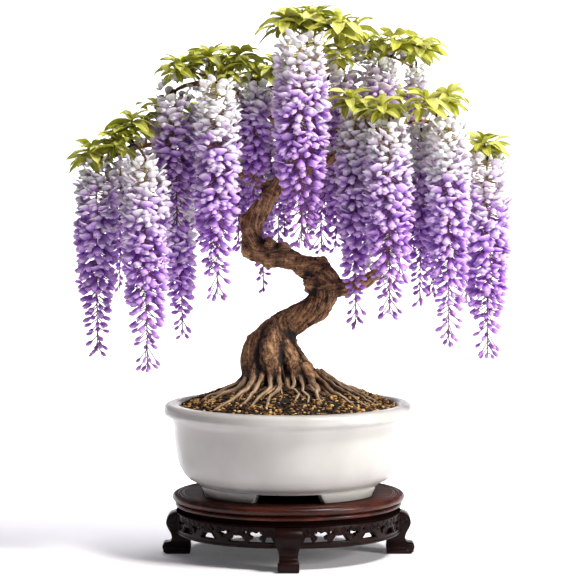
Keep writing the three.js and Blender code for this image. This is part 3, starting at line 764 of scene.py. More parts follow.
def makeSoil():
    draw = random.Random(soil["seed"])
    rings, edge = soil["rings"], soil["edgeRadius"]
    profile = [(0, soil["floor"]), (soil["floorRadius"], soil["floor"])] + soil["sides"]
    profile += [(edge * (1 - i / rings), soil["edgeHeight"] + 1) for i in range(rings + 1)]
    bed = lathe(profile, soil["facets"])
    tone = bed.verts.layers.float.new("tone")
    for vert in bed.verts:
        vert[tone] = soil["bedTone"]
        if vert.co.z > soil["edgeHeight"] + 0.5:
            rough = noise.noise(vert.co * 0.16) * 1.6 + noise.noise(vert.co * 0.5) * 0.8
            vert.co.z = soilHeight(vert.co.x, vert.co.y) + rough - 1.2
    chip = bmesh.new()
    bmesh.ops.create_icosphere(chip, subdivisions=1, radius=1)
    for vert in chip.verts:
        vert.co *= 1 + 0.25 * noise.noise(vert.co * 1.7)
    grain = meshOf(chip)
    for _ in range(soil["chips"]):
        far = math.sqrt(draw.random()) * (edge - 3)
        angle = draw.random() * wholeTurn
        x, y = far * math.cos(angle), far * math.sin(angle)
        size = soil["chip"] * draw.uniform(*soil["chipSizes"])
        turn = Matrix.Rotation(draw.random() * 6.3, 4, "Z")
        turn = turn @ Matrix.Rotation(draw.uniform(-soil["chipTilt"], soil["chipTilt"]), 4, "X")
        if draw.random() < soil["shreds"]:
            size *= soil["shredSize"]
            shape = (size * draw.uniform(*soil["shredLength"]), size * 0.85, size * 0.5, 1)
        else:
            shape = (size * draw.uniform(*soil["grainLength"]), size * 0.9, size * 0.7, 1)
        place = Matrix.Translation((x, y, soilHeight(x, y) + draw.uniform(*soil["chipRise"])))
        # darker near the trunk, paler towards the rim
        towardsRim = clamp((far - soil["darkWithin"]) / (soil["lightBeyond"] - soil["darkWithin"]))
        stamp(bed, grain, place @ (turn @ Matrix.Diagonal(shape)), tone,
              draw.choice(soil["tones"]) * blendOf(soil["darkest"], 1, towardsRim))
    addPiece("soil_crumb", bed, [makeSoilMaterial()], ["soil"], 60)


makeSoil()
print("soil done")


# the wood: each limb is a path of x, y, z, radius, from the thick end to the thin one

trunk = [
    (-12, 0, 250, 28), (-22, 2, 284, 25), (-30, 4, 308, 25), (-34, 5, 328, 27), (-27, 2, 348, 28),
    (-10, -3, 364, 26), (10, -6, 377, 23), (34, -8, 390, 22), (54, -8, 411, 22), (60, -6, 438, 23),
    (44, -3, 458, 18), (20, 0, 467, 15), (-5, 3, 476, 17), (-32, 5, 481, 18), (-53, 6, 491, 18),
    (-59, 6, 512, 17), (-58, 4, 530, 18), (-49, 2, 547, 16.5), (-37, 0, 564, 15), (-26, 1, 582, 14.5),
    (-12, 4, 598, 14),
]
leader = [
    (-20, 2, 588, 14), (2, 8, 615, 12.5), (14, 16, 645, 11.5), (12, 24, 680, 10), (4, 24, 715, 8.5),
    (10, 16, 750, 7), (24, 4, 782, 5.5), (32, -8, 806, 4),
]
limbs = {
    "left": [(-22, 3, 586, 11), (-58, 10, 600, 9.5), (-84, 20, 618, 8.5), (-112, 26, 652, 7.5),
             (-150, 24, 664, 6.5), (-196, 14, 660, 5.5), (-240, 2, 654, 4.5), (-290, -10, 634, 3)],
    "leftHigh": [(13, 20, 662, 9), (-18, 12, 694, 8), (-52, 0, 722, 7), (-86, -10, 744, 6),
                 (-124, -16, 756, 5), (-164, -18, 752, 4), (-192, -16, 736, 2.8)],
    "right": [(-4, 6, 606, 11), (34, 2, 620, 9.5), (66, -2, 634, 8.5), (100, -12, 662, 7.5),
              (140, -26, 684, 6.5), (184, -36, 694, 5), (226, -40, 694, 3.5), (252, -44, 682, 2.8)],
    "rightHigh": [(8, 20, 736, 7), (44, 24, 764, 6), (84, 22, 784, 5.2), (124, 14, 796, 4.4),
                  (164, 8, 798, 3.4), (196, 8, 782, 2.6)],
    "rightLow": [(58, -7, 432, 17), (82, -9, 429, 14), (106, -10, 433, 12.5), (130, -8, 444, 11.5),
                 (148, -2, 460, 8.5), (158, 14, 490, 6.5), (168, 36, 530, 6), (194, 54, 574, 5.5),
                 (228, 50, 614, 5), (266, 26, 642, 4.2), (300, -6, 652, 3), (318, -20, 642, 2.6)],
    "backLeft": [(-58, 10, 600, 8), (-84, 50, 630, 7), (-118, 86, 656, 6), (-158, 108, 664, 5),
                 (-200, 104, 656, 3.6), (-232, 92, 636, 2.8)],
    "back": [(12, 24, 684, 8.5), (2, 62, 712, 7.5), (-16, 104, 736, 6.5), (-40, 136, 744, 5),
             (-66, 158, 734, 3.4)],
    "backHigh": [(6, 22, 724, 7), (28, 60, 752, 6), (46, 104, 768, 5), (52, 136, 766, 4), (56, 160, 752, 3)],
    "backRight": [(14, 18, 650, 9), (56, 52, 672, 7.5), (100, 88, 694, 6.5), (146, 116, 704, 5.2),
                  (190, 116, 698, 4), (230, 98, 682, 3)],
}
flutes = [
    [(-30, -4, 366, 14), (-48, -10, 342, 18), (-60, -16, 314, 18.5), (-59, -24, 286, 15),
     (-74, -38, 258, 10)],
    [(-18, -12, 366, 16), (-25, -24, 340, 20), (-28, -33, 312, 20), (-22, -43, 284, 13), (-24, -58, 258, 8)],
    [(-12, -16, 360, 10), (-4, -26, 336, 13), (8, -36, 308, 14.5), (23, -45, 282, 13), (40, -60, 256, 9)],
    [(-10, -8, 354, 11), (4, -12, 334, 11), (22, -18, 310, 11), (46, -26, 284, 9), (74, -34, 260, 6)],
    [(-20, 14, 352, 14), (-12, 28, 328, 16), (8, 38, 302, 14), (32, 50, 270, 9)],
    [(-38, 12, 348, 14), (-50, 26, 324, 16), (-56, 40, 298, 14), (-66, 60, 264, 9)],
]
# burrs at x, y, z with a radius and how dark they are, a darkness that is partly the burrs' own bark and
# partly painted shade
knots = [
    (-24, -5, 372, 11, 0.2), (-9, 4, 489, 14, 0.3), (52, -4, 466, 13, 0.6), (-61, 6, 489, 16, 0.9),
    (-63, 5, 537, 15, 1.0), (52, -8, 388, 13, 0.2), (-26, -12, 352, 15, 0.5), (0, -12, 344, 13, 0.8),
    (8, -15, 334, 10, 1.0), (-54, -8, 344, 14, 0.2), (-32, 2, 497, 13, 0.7), (40, -8, 436, 17, 0.9),
    (-42, 0, 560, 13, 0.5), (-8, -12, 370, 13, 0.6), (22, -2, 458, 13, 0.4), (-30, 0, 472, 13, 0.6),
]
# surface roots: degrees round the foot, length, thickness, sideways swing
roots = [
    (-156, 96, 6, 10), (-128, 90, 5.2, -8), (-104, 78, 4.8, 8), (-76, 80, 4.8, -7), (-46, 92, 5.4, 8),
    (-14, 108, 5.6, -8), (26, 92, 5.4, 8), (68, 84, 5.4, -9), (116, 86, 5.8, 9), (162, 96, 5.4, -9),
]
rootFoot = {"x": -10, "y": 0, "radius": 38}
# the trunk's middle, and how far out the cords lie on it, by height
cordMiddle = [(350, -27, 1), (328, -34, 3), (308, -31, 2), (284, -23, 0), (262, -14, 0), (240, -10, 0)]
cordReach = [(350, 27), (328, 36), (308, 43), (284, 50), (262, 63), (240, 90)]
# bare roots that stand out on the soil: points of x, y, height over the soil, radius
bareRoots = [
    [(-52, -26, 34, 7), (-56, -44, 14, 6), (-66, -66, 6, 4.4), (-84, -88, 3.4, 3.2), (-104, -108, 2.4, 2.6),
     (-122, -116, -2, 1.6)],
    [(-44, -30, 28, 5), (-44, -52, 12, 4.4), (-54, -78, 4.6, 3.4), (-60, -104, 2.8, 2.6),
     (-84, -128, -2, 1.6)],
    [(-30, -38, 30, 4.6), (-29, -56, 13, 4), (-31, -80, 4.4, 3.2), (-44, -106, 2.6, 2.6),
     (-66, -136, -2, 1.6)],
    [(-18, -40, 30, 4.6), (-15, -58, 14, 4), (-17, -80, 5, 3.4), (-27, -106, 2.8, 2.6), (-34, -140, -2, 1.6)],
    [(6, -36, 26, 4), (8, -58, 10, 3.2), (6, -78, 4, 2.6), (14, -98, 2.4, 2.2), (10, -122, -2, 1.4)],
    [(12, -40, 22, 3.4), (22, -62, 8, 2.8), (22, -86, 3.4, 2.4), (34, -106, 2.2, 2), (30, -128, -2, 1.2)],
    [(28, -42, 28, 8), (36, -58, 13, 6.4), (43, -76, 5, 4.6), (44, -96, 3, 3.2), (54, -118, -2, 2)],
    [(34, -40, 22, 3.6), (54, -56, 10, 3.2), (72, -76, 4, 2.6), (92, -92, 2.4, 2.2), (110, -118, -2, 1.2)],
    [(44, -30, 22, 3.6), (64, -44, 10, 3.2), (88, -58, 4, 2.8), (106, -78, 2.4, 2.2), (134, -98, -2, 1.2)],
    [(50, -24, 20, 3.4), (74, -36, 9, 3), (96, -42, 4, 2.6), (122, -62, 2.2, 2), (146, -74, -2, 1.2)],
    [(52, -14, 18, 3.4), (78, -22, 7, 3), (104, -24, 3.4, 2.4), (128, -38, 2, 1.8), (150, -42, -2, 1)],
    [(-56, -22, 24, 5), (-74, -38, 9, 4.2), (-92, -50, 4, 3.2), (-118, -62, 2.6, 2.4), (-138, -76, -2, 1.4)],
    [(-58, -10, 22, 5), (-80, -20, 8, 4), (-104, -30, 3.4, 3), (-128, -34, 2.2, 2.2), (-148, -48, -2, 1.2)],
    [(50, 4, 16, 4), (76, 2, 6, 3.4), (104, -6, 3, 2.6), (132, -4, -2, 1.4)],
]
# how rough the bark is, in millimetres: lengthwise furrows, finer cracks, rings across the stem and lumps; the
# last two set how much painted shade darkens the hollows and how much painted highlight lightens the ridges
bark = {
    "voxel": 2.45, "softenSteps": 5, "furrow": 2.6, "furrowWidth": 8, "crack": 1.6, "ring": 2.2,
    "ringGap": 13, "lump": 2.1, "burr": 9, "twist": 0.021, "grain": 0.13, "hollowSteps": 40,
    "hollowPaintedShade": 0.8, "ridgeLight": 0.1,
}
# how much each of them darkens the colour, or lightens it
barkTone = {"base": -0.1, "furrow": -0.11, "crack": -0.08, "ring": -0.15, "lump": 0.06}
# cords of wood that run down the flanks and out over the soil
cords = {
    "count": 13, "frontTop": (268, 292), "backTop": (300, 346), "foot": 258, "thick": (3.4, 6.2),
    "sway": (0.05, 0.16), "length": (45, 95), "spacing": 9, "seed": 22,
}
# thin roots that wander over the soil and most often fork
fine = {
    "count": 46, "from": 34, "length": (34, 108), "thick": (1.5, 3.3), "steep": (20, 46), "wander": (5, 13),
    "forks": (1, 2, 2, 3), "splay": 0.4, "seed": 21,
}


def rootPath(degrees, length, thick, swing):
    out = Vector((math.cos(math.radians(degrees)), math.sin(math.radians(degrees)), 0))
    across = Vector((-out.y, out.x, 0))
    path = []
    for i in range(6):
        t = i / 5
        far = rootFoot["radius"] + length * t
        aside = across * swing * math.sin(t * math.pi * 1.4)
        x, y = rootFoot["x"] + out.x * far + aside.x, rootFoot["y"] + out.y * far + aside.y
        radius = thick * (1.25 - 0.95 * t)
        lift = 14 if i == 0 else (-5 if i == 5 else radius * 0.35)
        path.append((x, y, soilHeight(x, y) + lift, radius))
    return smoothPath(path, 6)


def cordPath(degrees, draw):
    # down the flank first, then out along the ground
    facing = -160 < degrees < 10
    top = draw.uniform(*cords["frontTop" if facing else "backTop"])
    thick = draw.uniform(*cords["thick"])
    phase, sway = draw.uniform(0, 6.3), draw.uniform(*cords["sway"])
    length = draw.uniform(*cords["length"])
    path = []
    for i in range(7):
        t = i / 6
        z = blendOf(top, cords["foot"], t)
        angle = math.radians(degrees) + sway * math.sin(phase + t * 5)
        cx, cy = between(cordMiddle, z)
        reach = between(cordReach, z)[0] + (-8 if i == 0 else 0)
        x, y = cx + reach * math.cos(angle), cy + reach * math.sin(angle) * 0.92
        path.append((x, y, z, thick * (1.1 - 0.25 * t)))
    heading = math.atan2(y, x - rootFoot["x"])
    for i in range(1, 6):
        t = i / 5
        turned = heading + sway * 1.6 * math.sin(phase + 5 + t * 5)
        x += math.cos(turned) * length / 5
        y += math.sin(turned) * length / 5
        radius = thick * (0.85 - 0.6 * t)
        path.append((x, y, soilHeight(x, y) + (radius * 0.4 if i < 5 else -4), radius))
    return smoothPath(path, 5)


def fineRootPaths(draw):
    # leaves the flank of the trunk, meets the soil and dives in at its end
    angle = draw.uniform(-math.pi, math.pi)
    length, thick, steep = (draw.uniform(*fine[name]) for name in ("length", "thick", "steep"))
    phase, wander = draw.uniform(0, 6.3), draw.uniform(*fine["wander"])
    paths = []
    for branch in range(draw.choice(fine["forks"])):
        splay = draw.uniform(-fine["splay"], fine["splay"]) if branch else 0
        path = []
        for i in range(9):
            t = i / 8
            far = fine["from"] + length * t
            forked = max(0, t - 0.3)
            swing = wander / (far + 20) * math.sin(phase + branch * 0.7 * forked + t * 6.5)
            turned = angle + splay * forked + swing
            x = rootFoot["x"] - 6 + far * math.cos(turned)
            y = rootFoot["y"] + far * math.sin(turned)
            climb = steep * max(0, 1 - t * 3.0) ** 1.5
            sink = 3.4 * max(0, t - 0.85) * 6.6
            radius = thick * (0.72 if branch else 1) * (1.1 - 0.72 * t)
            path.append((x, y, soilHeight(x, y) + climb + 0.55 * thick * (1 - 0.4 * t) - sink, radius))
        paths.append(smoothPath(path[2:] if branch else path, 4))
    return paths


def bareRootPath(points, number):
    # the root wanders and swells a little on its way
    path = []
    for i, (x, y, lift, radius) in enumerate(smoothPath(points, 7)):
        place = Vector((i * 0.22, number * 3.7, 0.5))
        sway = min(1, i / 8) * 4.5
        x += noise.noise(place) * sway
        y += noise.noise(place + Vector((0, 0, 9))) * sway
        radius *= 1 + 0.3 * noise.noise(place * 2.3)
        path.append((x, y, soilHeight(x, y) + lift, radius))
    return path


def makeBarkMaterial():
    # Old wisteria bark: brown and fibrous, wrinkled across the stem, with painted shade that makes it nearly
    # black in the hollows, round dark burrs and underneath, and pale where it runs bare over the soil, palest
    # on tops that face up as painted light. Its noise runs along each limb, in millimetres
    skin = newMaterial("weathered wisteria bark")
    flow = attributeOf(skin, "flow", "Vector")
    across = addNode(skin, "Mapping", {"Vector": flow, "Scale": (0.05, 0.05, 2.1)})
    names = ("Vector", "Scale", "Detail", "Roughness", "Distortion")
    fibres = addNode(skin, "TexNoise", dict(zip(names, (flow, 0.34, 4, 0.55, 0))))
    patches = addNode(skin, "TexNoise", dict(zip(names, (flow, 0.06, 3, 0.5, 0.4))))
    wrinkles = addNode(skin, "TexNoise", dict(zip(names, (across, 1.3, 6, 0.68, 0.6))))
    grain = addNode(skin, "TexNoise", dict(zip(names, (flow, 0.1, 4, 0.6, 0.5))))
    both = mathOf(skin, "MULTIPLY_ADD", fibres, 1.3, wrinkles)
    # thin dark cracks where one noise passes its middle
    beside = mathOf(skin, "ABSOLUTE", mathOf(skin, "SUBTRACT", grain, 0.5))
    seam = rangeOf(skin, beside, 0.0, 0.022, -0.18, 0.0)
    blotch = mathOf(skin, "MULTIPLY_ADD", patches, 0.3, attributeOf(skin, "height"))
    mixed = mathOf(skin, "MULTIPLY_ADD", both, 0.5, mathOf(skin, "ADD", seam, blotch))
    body = rampOf(skin, mixed, (0.36, "#160d08"), (0.49, "#39271b"), (0.6, "#6c4e38"), (0.71, "#9d7a59"),
                  (0.86, "#cfaf88"))
    warm = mixOf(skin, patches, body, linearColour("#6b4a30"), "SOFT_LIGHT")
    light = rampOf(skin, fibres, (0.3, "#7a634b"), (0.5, "#ad9070"), (0.75, "#d8be9c"))
    # pale bare wood, with painted light on tops that face up
    fresh = mixOf(skin, attributeOf(skin, "pale"), warm, light)
    # painted shade mixes in near black
    colour = mixOf(skin, attributeOf(skin, "painted_shade"), fresh, linearColour("#0f0906"))
    return surface(skin, colour, 0.72, bumpOf(skin, mixed, 1.0, 1.5), {"Specular IOR Level": 0.4})


def skeletonOf(paths):
    # points along the paths with the sideways and upward directions of a frame that doesn't twist
    found = []
    for number, path in enumerate(paths):
        points = [Vector(p[:3]) for p in path]
        side = None
        far = number * 431.0  # so that no two limbs share their grain
        for i, point in enumerate(points):
            ahead = (points[min(i + 1, len(points) - 1)] - points[max(i - 1, 0)]).normalized()
            if side is None:
                side = ahead.orthogonal().normalized()
            side = (side - ahead * side.dot(ahead)).normalized()
            if i:
                far += (point - points[i - 1]).length
            found.append((point, side, ahead.cross(side), far, path[i][3]))
    return found


def hollowsOf(mesh):
    # how far each point lies under the surface once that is smoothed, most in the gaps between strands
    bm = softened(mesh, bark["hollowSteps"])
    depth = [(soft.co - vert.co).dot(vert.normal) for soft, vert in zip(bm.verts, mesh.vertices)]
    bm.free()
    return depth


def reliefAt(spot, place, far):
    # furrow, crack and ring from 0 to 1, and the lumps, at a point of the bark and its place in the grain
    wide = noise.noise(place / bark["furrowWidth"])
    narrow = noise.noise(place / (bark["furrowWidth"] * 0.42) + Vector((7, 3, 1)))
    # rings of cracks run across the stem, where the bark is not too smooth
    wave = math.sin(far * math.pi / bark["ringGap"] + 2.6 * noise.noise(spot / 14))
    broken = clamp(0.5 + 2.2 * noise.noise(spot / 26 + Vector((4, 9, 2))))
    lump = noise.noise(spot / 9) + 0.5 * noise.noise(spot / 4.5)
    return (max(0, 1 - abs(wide) * 5) ** 2, max(0, 1 - abs(narrow) * 4.0) ** 2,
            max(0, 1 - abs(wave) * 5) ** 1.5 * broken, lump)


def writeFlow(mesh, paths, carve, paleness=0.0):
    # gives each point its place in the bark's own grain, and carves the furrows
    skeleton = skeletonOf(paths)
    tree = KDTree(len(skeleton))
    for i, sample in enumerate(skeleton):
        tree.insert(sample[0], i)
    tree.balance()
    found = {"flow": [], "height": [], "pale": [], "painted_shade": []}
    depths = hollowsOf(mesh) if carve else [0] * len(mesh.vertices)
    normals = [v.normal.copy() for v in mesh.vertices]
    for vert, normal, depth in zip(mesh.vertices, normals, depths):
        point, side, up, far, radius = skeleton[tree.find(vert.co)[1]]
        a, b = (vert.co - point).dot(side), (vert.co - point).dot(up)
        turn = far * bark["twist"]
        place = Vector((a * math.cos(turn) - b * math.sin(turn), a * math.sin(turn) + b * math.cos(turn),
                        far * bark["grain"]))
        furrow, crack, ring, lump = reliefAt(vert.co, place, far)
        burr = 0
        if carve:
            burr = max([dark * max(0, 1 - (vert.co - Vector((x, y, z))).length / (size * 1.6))
                        for x, y, z, size, dark in knots])
            low = furrow * bark["furrow"] + crack * bark["crack"] + ring * bark["ring"]
            rough = bark["lump"] * (lump * 0.7 + 0.9 * noise.noise(place / 16)) + 0.6 - low
            vert.co += normal * (min(1, radius / 14) * rough + bark["burr"] * burr * noise.noise(vert.co / 6))
        found["flow"] += list(place)
        # painted highlight on the ridges and painted shade in the hollows, as tone
        ridge = bark["ridgeLight"] * clamp(-depth, -2, 2)
        carved = barkTone["base"] + barkTone["furrow"] * furrow + barkTone["crack"] * crack
        found["height"].append(carved + barkTone["ring"] * ring + barkTone["lump"] * lump + ridge)
        # painted shade darkens the wood in the hollows, round dark burrs and on its undersides; it is pale
        # where it runs out bare over the soil, partly its own colour and partly painted light on tops that
        # face up
        near = math.hypot(vert.co.x - rootFoot["x"], vert.co.y)
        above = vert.co.z - soilHeight(vert.co.x, vert.co.y)
        facing = clamp(0.25 + 1.1 * normal.z)
        dark = depth * bark["hollowPaintedShade"] + 1.5 * burr + 0.3 * max(0, -normal.z) - 0.05
        found["painted_shade"].append(clamp(dark, 0, 0.92))
        if carve:
            rooty = clamp(1 - (above - 4) / 20) * min(1, max(0, near - 50) / 26) * facing
            found["pale"].append(rooty * clamp(0.6 - depth, 0, 0.8))
        else:
            found["pale"].append(paleness * clamp(1.6 - above / 13) * clamp(0.3 + 0.8 * facing))
    mesh.attributes.new("flow", "FLOAT_VECTOR", "POINT").data.foreach_set("vector", found.pop("flow"))
    for name, values in found.items():
        mesh.attributes.new(name, "FLOAT", "POINT").data.foreach_set("value", values)


def makeWood():
    material = makeBarkMaterial()
    thick = [smoothPath(path) for path in [trunk, leader, *limbs.values(), *flutes]]
    thick += [rootPath(*root) for root in roots]
    draw = random.Random(cords["seed"])
    spread, count = cords["spacing"], cords["count"]
    thick += [cordPath(-180 + 360 * i / count + draw.uniform(-spread, spread), draw) for i in range(count)]
    bare = [bareRootPath(points, number) for number, points in enumerate(bareRoots)]
    # the upper end of each bare root swells and grows together with the trunk
    for path in bare:
        thick.append([(x, y, z, r * blendOf(1.5, 0.8, i / 9)) for i, (x, y, z, r) in enumerate(path[:10])])
    bm = bmeshOf(sweep(thick, 4))
    for x, y, z, radius, _ in knots:
        bmesh.ops.create_icosphere(bm, subdivisions=3, radius=radius, matrix=Matrix.Translation((x, y, z)))
    body = meshOf(softened(remeshed(meshOf(bm), bark["voxel"]), bark["softenSteps"]))
    writeFlow(body, thick, True)
    addPiece("trunk_and_limbs", body, [material], ["tree_wood"], 180)
    draw = random.Random(fine["seed"])
    thin = [path for _ in range(fine["count"]) for path in fineRootPaths(draw)]
    for name, paths, roundness, paleness in (("fine_roots", thin, 1, 0.12), ("bare_roots", bare, 2, 0.9)):
        mesh = sweep(paths, roundness)
        writeFlow(mesh, paths, False, paleness)
        addPiece(name, mesh, [material], [], 180)


makeWood()
print("wood done")


# leafy shoots: whorls at x, y, z, how many leaflets, length of the longest

shoots = {
    "apex": [(-4, -40, 854, 8, 58), (44, -24, 864, 8, 58), (80, -54, 848, 7, 56)],
    "top_right": [(124, 9, 821, 7, 52), (168, -6, 824, 8, 56), (208, -2, 813, 8, 54)],
    "left_high": [(-172, -44, 782, 8, 54), (-126, -36, 796, 8, 56), (-78, -34, 798, 8, 54)],
    "left_edge": [(-248, -42, 695, 7, 50)],
    "left": [(-272, -50, 664, 7, 52), (-312, -36, 648, 8, 56)],
    "right": [(96, -78, 730, 7, 54), (146, -92, 718, 7, 54)],
    "right_mid": [(214, -84, 728, 7, 54), (252, -50, 735, 8, 54)],
    "right_edge": [(311, -38, 661, 9, 54)],
    "back_left": [(-200, 112, 690, 7, 54), (-158, 122, 698, 7, 54)],
    "back": [(-60, 144, 772, 7, 54), (-20, 112, 782, 6, 52)],
    "back_high": [(60, 148, 796, 7, 54), (52, 104, 808, 6, 52)],
    "back_right": [(170, 128, 742, 7, 54), (226, 104, 724, 7, 54)],
}
# whorls further down the same shoots
lowShoots = {
    "apex": [(20, -34, 858, 7, 54), (104, -38, 842, 6, 50)],
    "top_right": [(84, -22, 806, 7, 44)],
    "left_high": [(-104, -52, 772, 7, 50), (-208, -34, 722, 4, 34), (-222, -34, 694, 3, 32)],
    "left_edge": [(-262, -46, 676, 6, 46)],
}
leaf = {
    "width": 0.43, "thick": 0.6, "usual": 54, "arch": 0.5, "fold": 0.22, "roll": 0.65,
    "widths": (0.92, 1.12),
}
# lengths, slopes and tones of leaflets as they are drawn; the young ones stand up in the middle of a whorl
whorl = {
    "seed": 300, "young": 4, "length": (0.74, 1.02), "slope": (-0.18, 0.16), "tone": (-0.3, 0.2),
    "uneven": 0.25, "youngLength": (0.62, 0.9), "youngSlope": (0.7, 1.2), "paintedSunTone": (0.66, 0.84),
    "shadeEnd": -260, "sunWidth": 400,
}
# a lower tier that hangs over the flowers, and loose leaflets between the whorls: where they lie off the
# middle, their turn, slope, size and tone
tiers = [(((-6, 6), (-6, 6), (-15, -5)), 0.4, (-0.15, 0.2), 0.95, (-0.42, 0.0)),
         (((-20, 20), (-20, 20), (-12, 2)), 0.8, (0.1, 0.8), 0.82, (-0.2, 0.25))]
shoot = {"footBelow": 18, "reach": 70, "radii": (2.3, 1.8, 1.5, 1.2), "ceiling": 878, "back": 196}
twig = {"radii": (2.6, 2.2, 1.9, 1.7), "direct": 20, "clear": 10, "neck": 6, "rise": -0.05, "hang": 0.18}


def makeLeafMaterial():
    # Young wisteria leaf: thin and waxy, yellow green with a pale rib, light comes through it
    young = newMaterial("young wisteria leaf")
    across = attributeOf(young, "across")
    shade = variedBy(young, "tone", noiseOf(young, 9, 3), 0.3)
    blade = rampOf(young, shade, (0.0, "#4c4f0d"), (0.35, "#878718"), (0.65, "#b5b43c"), (1.0, "#dfde86"))
    slant = mathOf(young, "MULTIPLY_ADD", across, -0.55, attributeOf(young, "along"))
    wave = mathOf(young, "SINE", mathOf(young, "MULTIPLY", slant, 62.0))
    rib, veins = rangeOf(young, across, 0.04, 0.2, 0.75, 0.0), rangeOf(young, wave, 0.6, 1.0, 0.0, 0.22)
    marks = mathOf(young, "MAXIMUM", rib, veins)
    colour = mixOf(young, marks, blade, linearColour("#dde07c"))
    return surface(young, colour, 0.42, bumpOf(young, marks, 0.35, 0.5), {
        "Subsurface Weight": 0.25, "Subsurface Radius": (0.6, 1.0, 0.2), "Subsurface Scale": 1.5 * mm})


def leafletTemplate():
    # a folded, arching blade of unit length along X
    bm = bmesh.new()
    bmesh.ops.create_grid(bm, x_segments=7, y_segments=4, size=0.5)
    across = bm.verts.layers.float.new("across")
    along = bm.verts.layers.float.new("along")
    arch = leaf["arch"]
    for vert in bm.verts:
        t, v = vert.co.x + 0.5, vert.co.y * 2
        y = v * (1.9 * t ** 0.72 * (1 - t) ** 0.62 * leaf["width"] * 0.5 + 0.012 * (1 - t))
        z = abs(y) * leaf["fold"] * 2 - math.sin(arch * t) ** 2 / arch + 0.014 * math.sin(t * 15) * abs(v)
        vert.co = (math.sin(2 * arch * t) / (2 * arch), y, z)
        vert[across] = abs(v)
        vert[along] = t
    bmesh.ops.solidify(bm, geom=bm.faces[:], thickness=leaf["thick"] / leaf["usual"])
    return meshOf(faceOutwards(bm))


def leafletPlace(centre, turn, rise, size, draw):
    place = Matrix.Translation(centre + Vector((math.cos(turn), math.sin(turn), 0)))
    place = place @ Matrix.Rotation(turn, 4, "Z") @ Matrix.Rotation(-rise, 4, "Y")
    place = place @ Matrix.Rotation(draw.uniform(-leaf["roll"], leaf["roll"]), 4, "X")
    return place @ Matrix.Diagonal((size, size * draw.uniform(*leaf["widths"]), size, 1))


limbPoints = []
for woodPath in [leader, *limbs.values()]:
    dense = smoothPath(woodPath, 8)
    limbPoints += [Vector(p[:3]) for p in dense[int(len(dense) * 0.3):]]


def nearestWood(end):
    return min(limbPoints, key=lambda point: (point - end).length + 0.5 * max(0, point.z - end.z))


def twigPath(end, up):
    # from the nearest limb, up to a shoot or over and down to a raceme
    start = nearestWood(end)
    span = (start - end).length
    base, knee, neck, tip = twig["radii"]
    if span < twig["direct"]:
        return [(*start, base), (*end, tip)]
    turn = end + Vector((0, 0, -twig["neck"] if up else twig["neck"]))
    middle = start.lerp(turn, 0.55) + Vector((0, 0, twig["rise" if up else "hang"] * span))
    return smoothPath([(*start, base), (*middle, knee), (*turn, neck), (*end, tip)], 5)


def shootFootOf(whorls):
    foot = Vector([sum(w[i] for w in whorls) / len(whorls) for i in range(3)])
    foot.z = min(w[2] for w in whorls) - shoot["footBelow"]
    wood = nearestWood(foot)
    if (wood - foot).length <= twig["direct"]:
        foot.z = max(foot.z, wood.z + twig["clear"])
    return foot


def addWhorl(bm, blade, tone, centre, count, length, draw):
    # leaflets all round in two heights, each with others below it, and then the young ones
    outward = math.atan2(centre.y, centre.x)
    # whorls further right get lighter tones: painted light from the right, and painted shade on the left
    paintedSunTone = blendOf(*whorl["paintedSunTone"], clamp((centre.x - whorl["shadeEnd"]) / whorl["sunWidth"]))
    for i in range(count + whorl["young"]):
        young = i >= count
        high = i % 2
        share = (i - count) / whorl["young"] + 0.1 if young else i / count
        turn = outward + (share + draw.uniform(-whorl["uneven"], whorl["uneven"]) / count) * wholeTurn
        size = length * (0.84 if high else 1) * draw.uniform(*whorl["length"])
        rise = (0.62 if high else 0.16) + draw.uniform(*whorl["slope"])
        if young:
            size *= draw.uniform(*whorl["youngLength"])
            rise = draw.uniform(*whorl["youngSlope"])
        place = leafletPlace(centre + Vector((0, 0, 3 * high)), turn, rise, size, draw)
        stamp(bm, blade, place, tone, paintedSunTone + draw.uniform(*whorl["tone"]))
        for spans, aside, slope, smaller, tones in ([] if young else tiers):
            low = centre + Vector([draw.uniform(*span) for span in spans])
            place = leafletPlace(low, turn + aside, draw.uniform(*slope), size * smaller, draw)
            stamp(bm, blade, place, tone, paintedSunTone + draw.uniform(*tones))


def makeLeaves():
    green = makeLeafMaterial()
    # Soft green stem of the year, tan where it turns woody
    stalk = grainy("tan green stalk", 25, 4, [(0.35, "#6d4a24"), (0.5, "#a17d35"), (0.7, "#b9a64f")], 0.6)
    blade = leafletTemplate()
    twigs = []
    for number, (name, whorls) in enumerate(shoots.items()):
        draw = random.Random(whorl["seed"] + number)
        bm, tone = emptyLike(blade, "tone")
        foot = shootFootOf(whorls)
        stems = []
        for x, y, z, count, length in whorls + lowShoots.get(name, []):
            centre = Vector((x, y, z))
            start = foot if (centre - foot).length < shoot["reach"] else nearestWood(centre)
            stem = [start, start.lerp(centre, 0.5), (x, y, z - 5), (x, y, z + 5)]
            stems.append(smoothPath([(*point, radius) for point, radius in zip(stem, shoot["radii"])], 4))
            addWhorl(bm, blade, tone, centre, count, length, draw)
        stalksFrom = len(bm.faces)
        bm.from_mesh(sweep(stems, 1))
        bm.faces.ensure_lookup_table()
        for face in bm.faces[stalksFrom:]:
            face.material_index = 1
        for vert in bm.verts:  # the tallest tips bend over
            vert.co.z -= 0.6 * max(0, vert.co.z - shoot["ceiling"])
            vert.co.y -= 0.7 * max(0, vert.co.y - shoot["back"])
        addPiece(f"foliage_{name}", bm, [green, stalk], [f"leaves_{name}"], 50)
        twigs.append(twigPath(foot, True))
    return twigs


shootTwigs = makeLeaves()
print("leaves done")


# racemes; widths and floret lengths run from the top of a raceme to its tip

